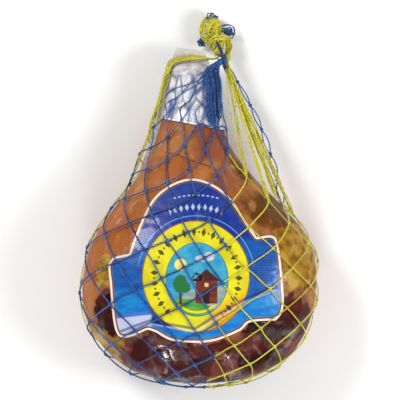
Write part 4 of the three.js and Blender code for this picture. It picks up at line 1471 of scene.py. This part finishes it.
def tufts(strands):
    """Small loose curls beside the bunched loops."""
    for centre, reach, count in BLUE_TUFTS:
        reach = np.array(reach)
        for _ in range(count):
            t = np.linspace(0, 2 * math.pi * random.uniform(0.45, 0.95), 12) + random.uniform(0, 6)
            first = unit(random.normal(0, 1, 3))
            second = unit(np.cross(first, random.normal(0, 1, 3)))
            size = random.uniform(0.35, 1.0)
            middle = np.array(centre) + random.uniform(-0.5, 0.5, 3) * reach
            ring = around(t, first, second) + 0.3 * np.sin(3 * t)[:, None] * first
            strands.twine(middle + ring * size * reach * 0.6, 1.5, 1.9, random.uniform(0, 1))


def make_tie():
    yellow = Strands("yellow")
    blue = Strands("blue")
    bundle(yellow, NECK_PATH, 8.6, 34, 2.3, [0.1, 0.3, 0.5])
    bundle(blue, NECK_PATH, 8.4, 4, 2.4, [0.4, 0.8])
    coils(yellow)
    bulb(yellow, blue)
    tufts(blue)
    bundle(yellow, LOOP_PATH, 5.4, 15, 2.1, [0.1, 0.4, 0.7])
    bundle(blue, CURL_PATH, 1.8, 2, 1.5, [0.5, 0.9])
    bundle(blue, TAIL_PATH, 2.6, 7, 2.1, [0.8, 1.0])
    yellow.build("tie_yellow", "net_tie_knot")
    blue.build("tie_blue", "net_tie_knot")


# The studio
def make_floor():
    far = FLOOR_REACH
    corners = [(x, y, FLOOR_LEVEL) for x, y in ((-far, -far), (far, -far), (far, far), (-far, far))]
    mesh = bpy.data.meshes.new("floor")
    mesh.from_pydata(corners, [], [(0, 1, 2, 3)])
    n = Nodes("pale_floor")
    mesh.materials.append(n.finish(n.shader(FLOOR_TINT, 0.95)))
    floor = bpy.data.objects.new("floor", mesh)
    bpy.context.scene.collection.objects.link(floor)


def make_lamp(name, place, size, power):
    light = bpy.data.lights.new(name, "AREA")
    light.shape = "DISK"
    light.size = size
    light.energy = power
    lamp = bpy.data.objects.new(name, light)
    lamp.location = place
    lamp.rotation_mode = "QUATERNION"
    lamp.rotation_quaternion = (Vector(LAMP_AIM) - Vector(place)).to_track_quat("-Z", "Y")
    bpy.context.scene.collection.objects.link(lamp)


def make_studio():
    scene = bpy.context.scene
    world = bpy.data.worlds.new("studio")
    world.use_nodes = True
    background = world.node_tree.nodes["Background"]
    background.inputs["Color"].default_value = (1, 1, 1, 1)
    background.inputs["Strength"].default_value = WORLD_STRENGTH
    scene.world = world
    for name, (place, size, power) in LAMPS.items():
        make_lamp(name, place, size, power)


def make_camera():
    scene = bpy.context.scene
    camera_data = bpy.data.cameras.new("camera")
    camera_data.sensor_width = SENSOR_WIDTH
    camera_data.lens = SENSOR_WIDTH * (CAMERA_PLACE[2] - PICTURE_LEVEL) / PICTURE_WIDTH
    camera_data.clip_end = 50
    camera = bpy.data.objects.new("camera", camera_data)
    camera.location = CAMERA_PLACE
    scene.collection.objects.link(camera)
    scene.camera = camera
    scene.view_settings.view_transform = "Standard"


TWINE_LOOKS = {
    colour: twine_material(colour + "_twine_look", *tints) for colour, tints in TWINE_TINTS.items()
}
make_ham()
make_seam()
make_label()
make_wrap()
make_net()
make_tie()
make_floor()
make_studio()
make_camera()
